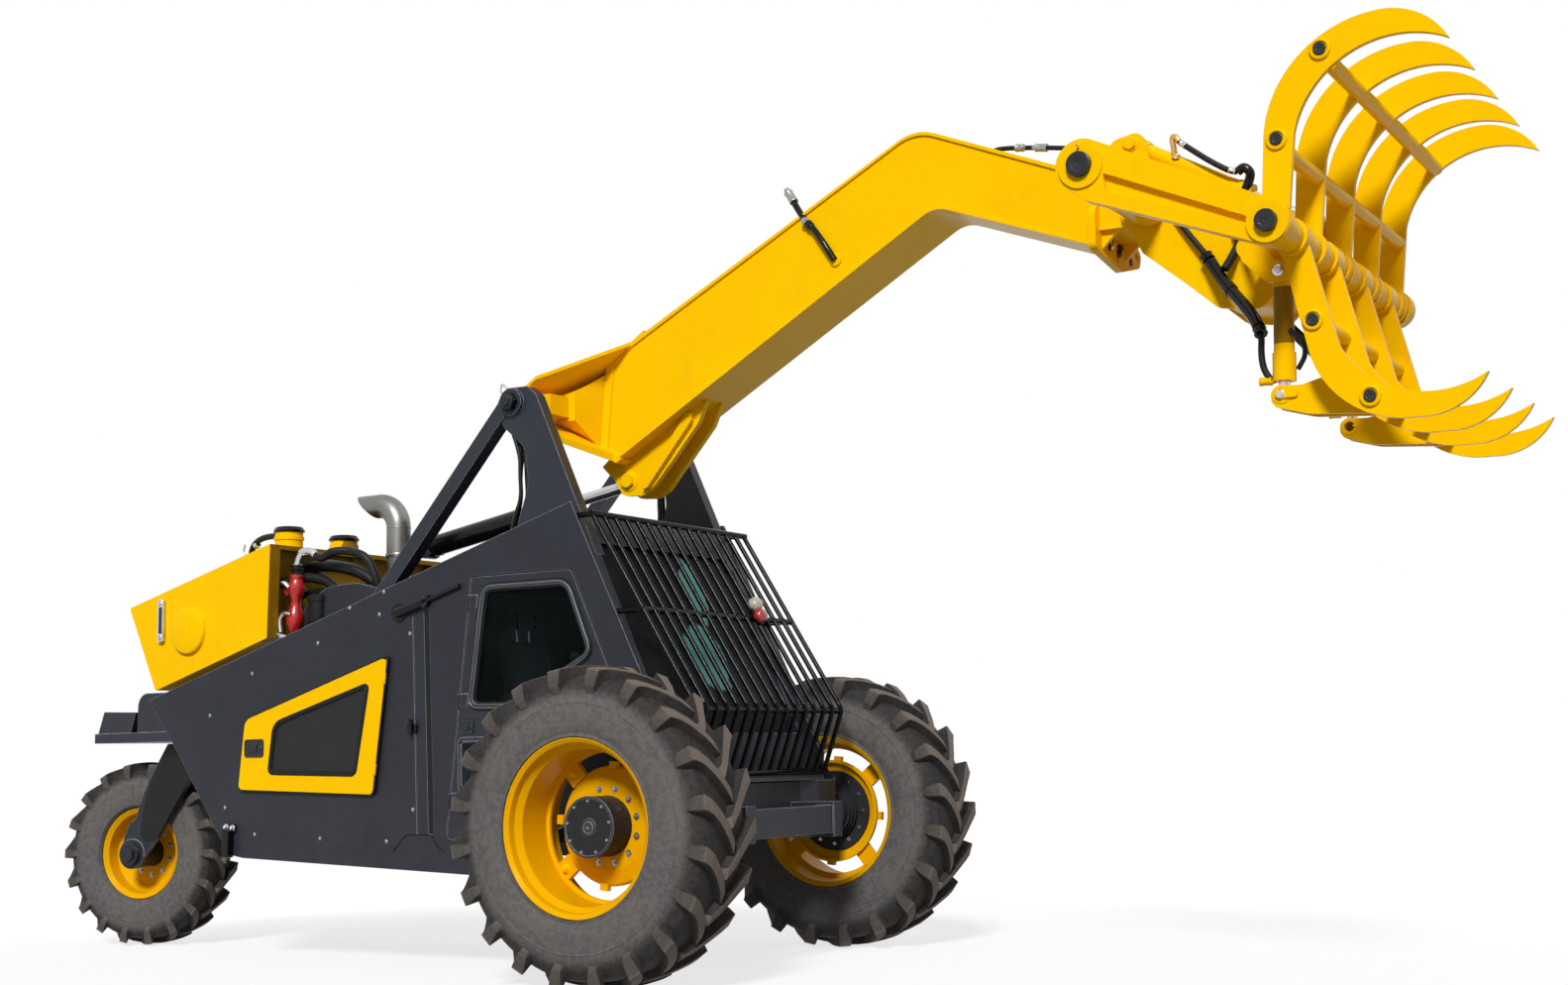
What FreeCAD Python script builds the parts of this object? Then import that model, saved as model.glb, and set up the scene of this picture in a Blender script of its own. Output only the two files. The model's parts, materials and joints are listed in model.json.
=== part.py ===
import FreeCAD, Part
import math
import os

# Sugarcane loader: three-wheeled machine with a bent lift boom over the cab and a tined grab.
# Millimetres. +X is forwards, +Y is the left side, +Z is up, the floor is z = 0.
# Every outline is drawn with x measured from the front axle; export shifts it to the row frame.

V = FreeCAD.Vector
ACROSS = V(0, 1, 0)
UPWARDS = V(0, 0, 1)

# --- whole machine --------------------------------------------------------------------------
front_axle_x = 410.0        # front axle ahead of the row origin, which is mid-length on the floor
wheelbase = 4650.0
front_track = 2550.0
body_half = 800.0           # outer face of the side sheets
sheet = 36.0                # thickness of side sheets and doors

# --- clearances -----------------------------------------------------------------------------
door_gap = 7.0              # between a door and its opening
fit_gap = 0.05              # radial clearance of a pin in its eye
side_gap = 6.0              # axial clearance beside a moving eye
weld_lap = 5.0              # how far a welded piece runs into its neighbour
past = 2500.0               # reach of a cutting tool that goes right through

# --- wheels ---------------------------------------------------------------------------------
front_tyre_r = 825.0
front_tyre_width = 467.0
front_bead_r = 432.0
rim_inset_front = 7.5       # the rim's lip stands in from the tyre's widest point by this much
front_rim_half = front_tyre_width / 2 - rim_inset_front
front_dish = 64.0           # bolt face of the wheel centre inboard of the tyre's middle
front_dish_r = 311.0
clamp_count = 4
clamp_turn = 51.0           # first rim clamp, in degrees from straight up
clamp_width = 104.0
rear_tyre_r = 610.0
rear_tyre_width = 315.0
rear_bead_r = 281.0
rim_inset_rear = 31.5
rear_rim_half = rear_tyre_width / 2 - rim_inset_rear
rear_dish_r = 205.0
rim_lip = 12.0
rim_taper = 14.0
rim_flange = 25.0
bead_gap = 4.0
disc_plate = 18.0
hub_r = 156.0
hub_face = 97.0             # end of the front hub outboard of the tyre's middle
hub_inner = 230.0           # inner end of the front hub inboard of the tyre's middle
hub_flange_r = 242.0
rear_axle_r = 38.0
rear_hub_r = 92.0
rear_hub_half = 176.0

# --- rear fork and its head -----------------------------------------------------------------
kingpin_x = -wheelbase + 420.0
kingpin_r = 80.0
steer_deg = 11.0            # the steered wheel stands turned by this much
fork_top = 1338.0
fork_leg = 26.0
fork_doubler = 16.0
fork_leg_y = rear_tyre_width / 2 + 24.0
fork_boss_r = 100.0
head_low = 1351.0
head_top = 1416.0
head_half = 372.0

# --- body -----------------------------------------------------------------------------------
side_slope = 0.2976         # rise of the side sheets' top edge for each mm forwards
panel_rear_x = -3890.0
panel_rear_z = 1604.0
post_top_x = -530.0         # front upper corner of the side sheets
post_rake = 0.4421          # the front edge runs forwards by this much for each mm down
rail_y = 430.0
rail_width = 90.0
rail_low = 700.0
rail_top = 900.0
axle_low = 715.0
axle_top = 1015.0
axle_nose = 130.0           # half the beam's length along the machine
door_arch_r = 870.0
door_top = (-1237.0, 2223.0)
door_foot = (-1422.0, 743.0)
hinge_r = 9.0
pane = 6.0
slot_depth = 24.0
slot_width = 38.0
lid_plate = 20.0
lid_stand_off = 5.0
lid_pane = 12.0             # what is left of the lid behind its mesh

# --- cab ------------------------------------------------------------------------------------
cab_floor = 1064.0
cab_wall = 30.0
cab_rear_x = -1640.0
sill_top = 1300.0
header_drop = 230.0
roof_drop = 60.0
console_y = 330.0
console_half = 60.0

# --- towers and boom ------------------------------------------------------------------------
tower_y = 700.0
tower_plate = 80.0
brace_size = 90.0
boom_pivot = (-985.0, 3224.0)
boom_pin_r = 45.0
boom_half = 205.0
boom_wall = 14.0
boom_inset = 12.0           # side plates stand in from the edges of the flange plates
flare_plate = 22.0
flare_slope = 0.632
flare_hub_r = 95.0
nose_tube_r = 105.0
nose_pivot = (2730.0, 3895.0)
nose_pin_r = 60.0

# --- grab -----------------------------------------------------------------------------------
jaw_pivot = (3609.0, 3485.0)
jaw_pin_r = 50.0
sleeve_r = 74.0
tine_pitch = 504.0
tine_plate = 32.0
tine_ring_r = 92.0
tine_ring_half = 20.0       # half length of the hub rings of the fixed tines
link_mid_y = 1085.0
link_width = 90.0
nose_tube_half = link_mid_y - link_width / 2      # the boom's nose tube ends at the links
link_ring = 12.0            # how far the end rings stand off the link
link_ring_r = 112.0
pin_cap = 18.0              # how far a pin stands out of its ring
jaw_tie_r = 38.0
tie_boss_r = 49.0
upper_bolts = [(250.0, 780.0), (30.0, 400.0)]      # x and z from the jaw pin
lower_bolts = [(78.0, -396.0), (318.0, -776.0)]
tie_shift = (32.0, -62.0)   # the upper tie tubes lie this far from their bolts, nearer the open side

# --- cylinders ------------------------------------------------------------------------------
lift_base = (-2250.0, 2528.0)
lift_eye = (-625.0, 2802.0)
lift_barrel_r = 66.0
lift_rod_r = 35.0
lift_barrel_length = 1120.0
lift_gland = 120.0          # length of the barrel's end collar
tilt_base = (2590.0, 4292.0)
tilt_eye = (3490.0, 3770.0)
tilt_barrel_r = 46.0
tilt_rod_r = 24.0
tilt_barrel_length = 700.0
tilt_gland = 80.0
grab_base = (jaw_pivot[0] - 104.0, jaw_pivot[1] - 115.0)
grab_eye = (jaw_pivot[0] - 129.0, jaw_pivot[1] - 700.0)
grab_y = 580.0
grab_barrel_r = 48.0
grab_rod_r = 26.0
grab_barrel_length = 515.0
grab_gland = 134.0

# --- windscreen guard -----------------------------------------------------------------------
bar_r = 14.0
bar_count = 16
guard_half = body_half - 10.0    # outermost bar, in line with the side sheets
guard_bend = 60.0
guard_top = (-386.0, 2526.0)
guard_knee = (286.0, 1434.0)
guard_foot = (155.0, 1075.0)


# --- small geometry helpers -----------------------------------------------------------------
def side_top(x):
    """Height of the side sheets' sloping top edge."""
    return panel_rear_z + side_slope * (x - panel_rear_x)


def post_x(z):
    """Front edge of the side sheets and towers at a height."""
    return post_top_x + post_rake * (side_top(post_top_x) - z)


def door_rear(z):
    """Sloping rear edge of the door at a height."""
    share = (z - door_foot[1]) / (door_top[1] - door_foot[1])
    return door_foot[0] + share * (door_top[0] - door_foot[0])


def corners(points):
    """Closed wire through points (position, radius); a radius of 0 keeps the corner sharp."""
    edges = []
    ends = []
    count = len(points)
    for i in range(count):
        here, radius = points[i]
        if radius == 0:
            ends.append((here, None, here))
            continue
        back = (points[i - 1][0] - here).normalize()
        ahead = (points[(i + 1) % count][0] - here).normalize()
        half = 0.5 * back.getAngle(ahead)
        run = radius / math.tan(half)
        middle = (back + ahead).normalize()
        centre = here + middle * (radius / math.sin(half))
        ends.append((here + back * run, centre - middle * radius, here + ahead * run))
    for i in range(count):
        start, bend, end = ends[i]
        if bend is not None:
            edges.append(Part.Arc(start, bend, end).toShape())
        following = ends[(i + 1) % count][0]
        if end.distanceToPoint(following) > 0.01:
            edges.append(Part.LineSegment(end, following).toShape())
    return Part.Wire(edges)


def radius_of(point):
    """Corner radius of an outline point: its third value, or none."""
    return point[2] if len(point) > 2 else 0


def side_plate(outline, y_low, y_high):
    """Plate with an outline of (x, z) or (x, z, corner radius), from y_low to y_high."""
    points = [(V(p[0], y_low, p[1]), radius_of(p)) for p in outline]
    return Part.Face(corners(points)).extrude(V(0, y_high - y_low, 0))


def both_sides(outline, y_near, y_far):
    """The same plate on the left and on the right of the middle."""
    return [side_plate(outline, y_near, y_far), side_plate(outline, -y_far, -y_near)]


def cross_plate(outline, x_low, x_high):
    """Plate across the machine with an outline of (y, z) or (y, z, corner radius)."""
    points = [(V(x_low, p[0], p[1]), radius_of(p)) for p in outline]
    return Part.Face(corners(points)).extrude(V(x_high - x_low, 0, 0))


def plan_plate(outline, z_low, z_high):
    """Upright prism with a plan outline of (x, y)."""
    points = [(V(p[0], p[1], z_low), radius_of(p)) for p in outline]
    return Part.Face(corners(points)).extrude(V(0, 0, z_high - z_low))


def box(x_low, x_high, y_low, y_high, z_low, z_high):
    return Part.makeBox(x_high - x_low, y_high - y_low, z_high - z_low, V(x_low, y_low, z_low))


def bar(start, end, radius):
    """Round bar between two points."""
    along = end - start
    return Part.makeCylinder(radius, along.Length, start, along)


def cross_bar(place, radius, y_one, y_two):
    """Round bar across the machine at (x, z)."""
    low, high = sorted((y_one, y_two))
    return Part.makeCylinder(radius, high - low, V(place[0], low, place[1]), ACROSS)


def ring(place, outer, inner, y_one, y_two):
    return cross_bar(place, outer, y_one, y_two).cut(cross_bar(place, inner, -past, past))


def fuse(shapes):
    whole = shapes[0]
    if len(shapes) > 1:
        whole = whole.fuse(shapes[1:])
    return whole.removeSplitter()


def steered(shape):
    """Turns a piece of the rear fork about the kingpin to the angle it stands at."""
    turned = shape.copy()
    turned.rotate(V(kingpin_x, 0, 0), UPWARDS, steer_deg)
    return turned


def write(name, shape):
    placed = shape.copy()
    placed.translate(V(front_axle_x, 0, 0))
    if not placed.isValid():
        print("invalid shape:", name)
    placed.exportStep("parts/" + name + ".step")
    print(name, len(placed.Solids), round(placed.Volume / 1e6, 2))


# --- wheels -----------------------------------------------------------------------------------
def lathe(profile, centre):
    """Solid of revolution about a wheel's axle; profile is (radius, y, corner radius)."""
    points = [(V(centre.x + p[0], centre.y + p[1], centre.z), radius_of(p)) for p in profile]
    return Part.Face(corners(points)).revolve(centre, ACROSS, 360)


def tyre(centre, radius, width, bead_r, rim_half):
    """Tyre with a flat tread, rounded shoulders and bulging side walls."""
    half = width / 2
    middle_r = (radius + bead_r) / 2
    bead_half = rim_half - rim_lip - rim_taper - bead_gap
    shoulder = 26
    x, y, z = centre
    tread = [V(x + radius - shoulder, y - half * 0.80, z), V(x + radius, y, z),
             V(x + radius - shoulder, y + half * 0.80, z)]
    inner = [V(x + bead_r, y + bead_half, z), V(x + bead_r, y - bead_half, z)]
    right = Part.Arc(inner[1], V(x + middle_r, y - half, z), tread[0]).toShape()
    left = Part.Arc(tread[2], V(x + middle_r, y + half, z), inner[0]).toShape()
    crown = Part.Arc(tread[0], tread[1], tread[2]).toShape()
    foot = Part.LineSegment(inner[0], inner[1]).toShape()
    return Part.Face(Part.Wire([right, crown, left, foot])).revolve(centre, ACROSS, 360)


def rim_barrel(centre, side, half, bead, rail_y_in, rail_r):
    """Barrel with rolled lips, a step on the open side, and an inner rail for the clamps."""
    flange = bead + rim_flange
    step = 34.0
    profile = [(flange, -half, 3), (flange, -half + rim_lip), (bead, -half + rim_lip + rim_taper),
               (bead, half - rim_lip - rim_taper), (flange, half - rim_lip), (flange, half, 4),
               (bead - 2, half - 20, 6), (bead - 6, half - 60, 8), (bead - step, half - 92, 12),
               (bead - step, rail_y_in + 16, 5), (rail_r, rail_y_in + 10, 4), (rail_r, rail_y_in - 10, 4),
               (bead - step + 8, rail_y_in - 20, 8), (bead - 12, -half + 60, 12), (bead - 6, -half + 20, 6)]
    return lathe([(r, side * y) + tuple(more) for r, y, *more in profile], centre)


def wheel_centre(centre, side, dish_y, dish_r):
    """Pressed wheel centre: flat bolt face and a rolled edge that turns inboard."""
    inner = hub_r - weld_lap
    roll = 34.0
    flat = dish_r - 84.0
    profile = [(inner, dish_y), (flat, dish_y, 60), (dish_r, dish_y - roll, 22),
               (dish_r, dish_y - 2 * roll), (dish_r - disc_plate, dish_y - 2 * roll),
               (dish_r - disc_plate, dish_y - roll - 10, 10), (flat - 8, dish_y - disc_plate, 50),
               (inner, dish_y - disc_plate)]
    return lathe([(r, side * y) + tuple(more) for r, y, *more in profile], centre)


def clamps(centre, side, dish_y, dish_r, rail_r):
    """Blocks between the wheel centre's edge and the rim's rail, evenly round the wheel."""
    blocks = []
    for i in range(clamp_count):
        for turn, width, reach in ((0.0, clamp_width, rail_r + 14), (180.0 / clamp_count, 48.0, dish_r + 22)):
            block = box(centre.x - width / 2, centre.x + width / 2, centre.y + side * (dish_y - 26) - 16,
                        centre.y + side * (dish_y - 26) + 16, centre.z + dish_r - 16, centre.z + reach)
            block.rotate(centre, ACROSS, clamp_turn + turn + i * 360.0 / clamp_count)
            blocks.append(block)
    return blocks


def hub_drum(centre, side, dish_y):
    """Final drive: drum with a cover, and the ribbed flange behind the wheel centre."""
    def across(low, high, radius):
        return cross_bar((centre.x, centre.z), radius, centre.y + side * low, centre.y + side * high)
    behind = dish_y - disc_plate
    parts = [across(-hub_inner, hub_face, hub_r - 14), across(dish_y - disc_plate, hub_face, hub_r)]
    parts.append(across(behind - 22, behind + 0.5, hub_flange_r))
    for i in range(3):
        start = behind - 40 - 26 * i
        parts.append(across(start - 12, start, hub_r + 16 - 8 * i))
    return parts


def front_wheel(side):
    centre = V(0, side * front_track / 2, front_tyre_r)
    rail_r = front_bead_r - 52
    rubber = tyre(centre, front_tyre_r, front_tyre_width, front_bead_r, front_rim_half)
    parts = [rim_barrel(centre, side, front_rim_half, front_bead_r, -front_dish - 20, rail_r),
             wheel_centre(centre, side, -front_dish, front_dish_r)]
    parts += clamps(centre, side, -front_dish, front_dish_r, rail_r)
    parts += hub_drum(centre, side, -front_dish)
    return rubber, fuse(parts)


def rear_wheel():
    """Smaller wheel with the same rolled lips and a plate centre on a long hub."""
    centre = V(-wheelbase, 0, rear_tyre_r)
    rubber = tyre(centre, rear_tyre_r, rear_tyre_width, rear_bead_r, rear_rim_half)
    half = rear_rim_half
    flange = rear_bead_r + rim_flange - 3
    wall = 12.0
    dish_y = 20.0
    inner = rear_bead_r - wall
    profile = [(flange, -half, 3), (flange, -half + rim_lip), (rear_bead_r, -half + rim_lip + rim_taper),
               (rear_bead_r, half - rim_lip - rim_taper), (flange, half - rim_lip), (flange, half, 3),
               (inner, half - 24, 8), (inner - 4, dish_y + 30, 12), (rear_dish_r, dish_y + 10, 20),
               (rear_hub_r - weld_lap, dish_y + 10), (rear_hub_r - weld_lap, dish_y - 10),
               (rear_dish_r, dish_y - 10, 30), (inner - 4, dish_y - 34, 16), (inner, -half + 24, 8)]
    metal = lathe(profile, centre)
    hub = ring((centre.x, centre.z), rear_hub_r, rear_axle_r + fit_gap, -rear_hub_half, rear_hub_half)
    return rubber, fuse([metal, hub])


def rear_fork():
    """Trailing fork: head plate, two legs with doublers, the fixed axle and its bosses."""
    ax, az = -wheelbase, rear_tyre_r
    leg = [(ax - 92, az - 10, 40), (ax - 66, az + 110, 60), (ax - 30, az + 196, 60), (ax + 26, az + 236, 80),
           (ax + 56, az + 330, 400), (ax + 120, az + 480, 800), (ax + 272, fork_top),
           (ax + 590, fork_top), (ax + 440, az + 463, 500), (ax + 294, az + 240, 300),
           (ax + 200, az + 92, 50), (ax + 84, az - 40, 40)]
    doubler = [(ax + 270, fork_top - 30), (ax + 145, az + 468, 400), (ax + 93, az + 282, 300),
               (ax + 66, az + 94, 44), (ax + 204, az + 94, 70), (ax + 300, az + 242, 300),
               (ax + 444, az + 463, 500), (ax + 560, fork_top - 30)]
    reach = fork_leg_y + fork_leg
    parts = both_sides(leg, fork_leg_y, reach)
    parts += both_sides(doubler, reach - weld_lap, reach + fork_doubler)
    parts.append(box(ax + 285, ax + 610, -reach, reach, fork_top - 36, fork_top))
    parts.append(cross_bar((ax, az), rear_axle_r, -reach - 58, reach + 58))
    for side in (-1, 1):
        parts.append(cross_bar((ax, az), fork_boss_r, side * fork_leg_y, side * (reach + 6)))
        parts.append(cross_bar((ax, az), 56, side * reach, side * (reach + 34)))
    return fuse(parts)


# --- frame and axle -----------------------------------------------------------------------------
def frame():
    """Two long side members with cross members, and the kick-up that carries the rear head."""
    rail = [(-3700, 1480), (-3650, 1330), (-3060, rail_low, 120), (420, rail_low), (420, rail_top),
            (-2950, rail_top, 120), (-3450, 1480)]
    parts = both_sides(rail, rail_y, rail_y + rail_width)
    cross_depth = 20.0
    for x in (-3000, -1600, -500, 300):
        parts.append(box(x, x + 110, -rail_y, rail_y, rail_low + cross_depth, rail_top - cross_depth))
    parts.append(box(-3700, -3450, -rail_y - rail_width, rail_y + rail_width, 1400, 1480))
    return fuse(parts)


def rear_head():
    """Thick plate over the steered wheel with the kingpin, a weight box and two cheeks."""
    x = -wheelbase
    parts = [box(x - 240, -3560, -head_half, head_half, head_low, head_top)]
    parts.append(Part.makeCylinder(kingpin_r, 200, V(kingpin_x, 0, head_low)))
    weight = [(x - 224, head_top - 1), (x + 92, head_top - 1), (x + 140, 1552), (x - 168, 1563)]
    parts.append(side_plate(weight, -head_half + 14, head_half - 14))
    cheek = [(x + 150, head_top - 1), (x + 150, 1676, 90), (-3864, 1676), (-3864, head_top - 1)]
    parts += both_sides(cheek, head_half - 46, head_half - 24)
    parts.append(box(x + 150, x + 168, -head_half + 30, head_half - 30, head_top - 1, 1580))
    return fuse(parts)


def front_axle():
    """Deep axle beam, chamfered end brackets and the ribbed necks that meet the hubs."""
    z = front_tyre_r
    neck_end = front_track / 2 - hub_inner - side_gap
    parts = [box(-axle_nose, axle_nose, -560, 560, axle_low, axle_top)]
    for side in (-1, 1):
        plan = [(-axle_nose, side * 540), (-170, side * 690), (-170, side * 930), (150, side * 930),
                (170, side * 690), (axle_nose, side * 540)]
        parts.append(plan_plate(plan, axle_low - 26, axle_top + 4))
        parts.append(cross_bar((0, z), 118, side * 900, side * neck_end))
        for i in range(3):
            start = 946 + 30 * i
            parts.append(cross_bar((0, z), 140 - 8 * i, side * start, side * (start + 14)))
    return fuse(parts)


# --- body ---------------------------------------------------------------------------------------
def side_outline():
    """Side sheet: sloping top, raked front edge, straight bottom, cut-off tail."""
    top_z = side_top(post_top_x)
    return [(panel_rear_x, panel_rear_z), (-3690, 1364), (-3160, 640), (-3040, 620),
            (-900, 520), (-900, 700), (post_x(1080), 1080), (post_x(1080) + 10, 1180),
            (post_x(top_z), top_z)]


def arch(radius):
    """Room for the front tyre along the foot of the door."""
    return cross_bar((0, front_tyre_r), radius, -past, past)


def door_outline(grow):
    """Cab door: sloping rear edge, raked front edge, foot cut round the tyre."""
    low = door_foot[1] - grow
    high = door_top[1] + grow
    front_top = post_x(door_top[1]) - 168 + grow
    front_low = post_x(1674) - 168 + grow
    return [(door_rear(low) - grow, low, 40), (-780, low), (front_low, 1400 - grow), (front_low, 1674),
            (front_top, high, 24), (door_rear(high) - grow, high, 24)]


def window_outline(grow):
    """Five-cornered door window with well rounded corners."""
    return [(-1239 - grow, 1493 - grow, 50), (-940, 1485 - grow, 120), (-405 + grow, 1756, 70),
            (-560 + grow, 2148 + grow, 70), (-1141 - grow, 2150 + grow, 60)]


def lid_outline(grow):
    """Outline of the inspection lid low on the flank."""
    return [(-3060 - grow, 1034 - grow, 30), (-1970 + grow, 994 - grow, 30),
            (-1860 + grow, 1794 + grow, 30), (-3010 - grow, 1454 + grow, 70)]


def mesh_outline():
    """Mesh field of the lid."""
    return [(-2800, 1134, 34), (-2110, 1114, 34), (-2010, 1634, 34), (-2760, 1424, 60)]


def gap_slot():
    """Deep joint between the engine flank and the cab flank."""
    return [(-1598, 2052), (-1598 + slot_width, 2052 + slot_width * side_slope),
            (-1560 + slot_width, 766), (-1560, 766)]


def side_sheet(side):
    low, high = sorted((side * (body_half - sheet), side * body_half))
    whole = side_plate(side_outline(), low, high)
    reach = (side * (body_half - 200), side * (body_half + 200))
    doorway = side_plate(door_outline(door_gap), *sorted(reach)).cut(arch(door_arch_r))
    lid_land = 70.0
    opening = side_plate(lid_outline(-lid_land), *sorted(reach))
    groove = (side * (body_half - slot_depth), reach[1])
    seam = [(-1684, 2020), (-1677, 2020), (-1641, 766), (-1648, 766)]
    seam_groove = (side * (body_half - 6), reach[1])
    cuts = [doorway, opening, side_plate(gap_slot(), *sorted(groove)),
            side_plate(seam, *sorted(seam_groove))]
    return whole.cut(cuts)


def hinge_line(share):
    """Point on the left door's hinge line, share 0 at its foot and 1 at its top."""
    y = body_half + hinge_r + 1
    foot = V(door_rear(door_foot[1]) - door_gap / 2, y, door_foot[1])
    head = V(door_rear(door_top[1]) - door_gap / 2, y, door_top[1])
    return foot + (head - foot) * share


def door(side):
    """Leaf with its window cut out, three hinge knuckles and their straps."""
    low = body_half - sheet
    leaf = side_plate(door_outline(0), low, body_half).cut(arch(door_arch_r + door_gap))
    leaf = leaf.cut(side_plate(window_outline(0), low - 1, body_half + 1))
    parts = []
    for share in (0.12, 0.5, 0.88):
        start = hinge_line(share)
        end = hinge_line(share + 0.05)
        parts.append(bar(start, end, hinge_r))
        strap = [(start.x, start.z), (start.x + 60, start.z), (end.x + 60, end.z), (end.x, end.z)]
        parts.append(side_plate(strap, body_half - 1, body_half + 6))
    whole = leaf.fuse(parts)
    return whole if side > 0 else whole.mirror(V(0, 0, 0), V(0, 1, 0))


def door_glass(side):
    middle = side * (body_half - sheet / 2)
    return side_plate(window_outline(0), middle - pane / 2, middle + pane / 2)


def lid_hinge(share):
    """Point (x, z) on the lid's sloping front edge, share 0 at its foot."""
    foot, head = lid_outline(0)[1], lid_outline(0)[2]
    return (foot[0] + share * (head[0] - foot[0]), foot[1] + share * (head[1] - foot[1]))


def vent_lid(side):
    inner = body_half + lid_stand_off
    outer = inner + lid_plate
    leaf = side_plate(lid_outline(0), *sorted((side * inner, side * outer)))
    recess = side_plate(mesh_outline(), *sorted((side * (inner + lid_pane), side * (outer + 1))))
    parts = [leaf.cut(recess)]
    for share in (0.14, 0.80):
        start, end = lid_hinge(share), lid_hinge(share + 0.08)
        y = side * outer
        parts.append(bar(V(start[0], y, start[1]), V(end[0], y, end[1]), hinge_r))
    return fuse(parts)


def square_bar(start, end, size):
    """Square tube between two points in one side plane."""
    along = (end - start).normalize()
    reach = V(-along.z, 0, along.x) * (size / 2)
    across = V(0, size / 2, 0)
    loop = [start + reach + across, start - reach + across, start - reach - across,
            start + reach - across]
    return Part.Face(Part.makePolygon(loop + [loop[0]])).extrude(end - start)


def tower(side):
    """Box-section upright over the cab side with its rear brace and the pin boss."""
    near, far = tower_y - tower_plate / 2, tower_y + tower_plate / 2
    foot_z = side_top(post_top_x) - 300
    px, pz = boom_pivot
    outline = [(px - 90, pz + 55, 60), (px - 30, pz + 88, 60), (px + 110, pz + 84, 40),
               (px + 172, pz + 28, 30), (post_x(foot_z), foot_z), (post_x(foot_z) - 560, foot_z),
               (-950, 2520, 120), (-872, 2730, 200), (-895, 2950, 150), (px - 75, pz - 130, 60)]
    plate = side_plate(outline, *sorted((side * near, side * far)))
    brace_y = side * (near + brace_size / 2)
    foot = V(-2060, brace_y, side_top(-2060) - 60)
    head = V(px - 60, brace_y, pz - 20)
    brace = square_bar(foot, head, brace_size)
    hole = cross_bar(boom_pivot, boom_pin_r, -past, past)
    boss = cross_bar(boom_pivot, 80, side * near, side * (far + 24))
    return fuse([plate, brace, boss]).cut(hole)


def boom_pin():
    """Pin through both towers with a hexagon nut at each end."""
    reach = tower_y + tower_plate / 2 + 60
    parts = [cross_bar(boom_pivot, boom_pin_r - fit_gap, -reach, reach)]
    for side in (-1, 1):
        parts.append(hex_nut(boom_pivot, 58, side * (reach - 34), side * (reach - 2)))
    return fuse(parts)


def hex_nut(place, corner_r, y_one, y_two):
    """Hexagon across the machine."""
    low, high = sorted((y_one, y_two))
    loop = [V(place[0] + corner_r * math.cos(math.radians(60 * i)), low,
              place[1] + corner_r * math.sin(math.radians(60 * i))) for i in range(7)]
    return Part.Face(Part.makePolygon(loop)).extrude(V(0, high - low, 0))


# --- cab ------------------------------------------------------------------------------------------
def raked(z_low, z_high, behind, depth):
    """Outline of a strip behind the raked front, between two heights."""
    return [(post_x(z_low) - behind - depth, z_low), (post_x(z_low) - behind, z_low),
            (post_x(z_high) - behind, z_high), (post_x(z_high) - behind - depth, z_high)]


def cab_shell():
    """Floor, rear wall, roof and the frames that carry the windscreen, all one welded box."""
    inner = body_half - sheet
    skirt = cab_floor - 40
    rear_top = side_top(cab_rear_x) - roof_drop
    front_top = side_top(post_top_x) - roof_drop
    header_low = side_top(post_top_x) - header_drop
    strip = 60.0
    parts = [box(cab_rear_x, post_x(cab_floor) - 30, -inner, inner, skirt, cab_floor)]
    parts.append(box(cab_rear_x, cab_rear_x + cab_wall, -inner, inner, skirt, rear_top))
    roof = [(cab_rear_x, rear_top - cab_wall), (cab_rear_x, rear_top),
            (post_top_x - 20, front_top), (post_top_x - 20, front_top - cab_wall)]
    parts.append(side_plate(roof, -inner, inner))
    parts.append(side_plate(raked(skirt, sill_top, 0, strip), -inner, inner))
    parts.append(side_plate(raked(header_low, front_top, 0, strip), -inner, inner))
    parts += both_sides(raked(sill_top, header_low, 0, strip), inner - 70, inner)
    return fuse(parts)


def windscreen():
    inner = tower_y - tower_plate / 2 - 4
    return side_plate(raked(sill_top, side_top(post_top_x) - header_drop, 26, 8), -inner, inner)


def cab_seat():
    """Cushion and backrest with a separate head pad, on a pedestal."""
    cushion = box(-1440, -900, -250, 250, 1400, 1520)
    back = [(-1500, 1500), (-1380, 1480), (-1450, 1930, 40), (-1540, 1930, 40)]
    head = [(-1545, 1950, 25), (-1465, 1950, 25), (-1480, 2090, 25), (-1550, 2090, 25)]
    neck = [(-1530, 1900), (-1480, 1900), (-1490, 1960), (-1530, 1960)]
    return fuse([cushion, side_plate(back, -240, 240), side_plate(head, -130, 130),
                 side_plate(neck, -60, 60)])


def seat_base():
    return box(-1330, -960, -190, 190, cab_floor, 1400)


def steering_column():
    """Raked column with a round wheel."""
    foot = V(-420, 0, cab_floor)
    head = V(-640, 0, 1640)
    wheel_r = 200.0
    rim_r = 15.0
    along = (head - foot).normalize()
    wheel = Part.makeTorus(wheel_r, rim_r, head, along)
    spoke = bar(head - V(0, wheel_r - 5, 0), head + V(0, wheel_r - 5, 0), 12)
    return fuse([bar(foot, head + along * 10, 35), spoke, wheel])


def control_console(side):
    y = side * console_y
    body = box(-1400, -820, y - console_half, y + console_half, cab_floor, 1560)
    lever = bar(V(-900, y, 1550), V(-860, y, 1760), 10)
    knob = Part.makeSphere(28, V(-858, y, 1770))
    return fuse([body, lever, knob])


# --- windscreen guard ---------------------------------------------------------------------------
def bent_bar(top, knee, foot):
    """Round bar with one bend, its ends inside the cross bars."""
    to_top = (top - knee).normalize()
    to_foot = (foot - knee).normalize()
    half = 0.5 * to_top.getAngle(to_foot)
    run = guard_bend / math.tan(half)
    middle = (to_top + to_foot).normalize()
    crown = knee + middle * (guard_bend / math.sin(half) - guard_bend)
    start = knee + to_top * run
    end = knee + to_foot * run
    path = Part.Wire([Part.LineSegment(top, start).toShape(), Part.Arc(start, crown, end).toShape(),
                      Part.LineSegment(end, foot).toShape()])
    section = Part.Wire(Part.makeCircle(bar_r, top, to_top))
    return path.makePipeShell([section], True, False)


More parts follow.
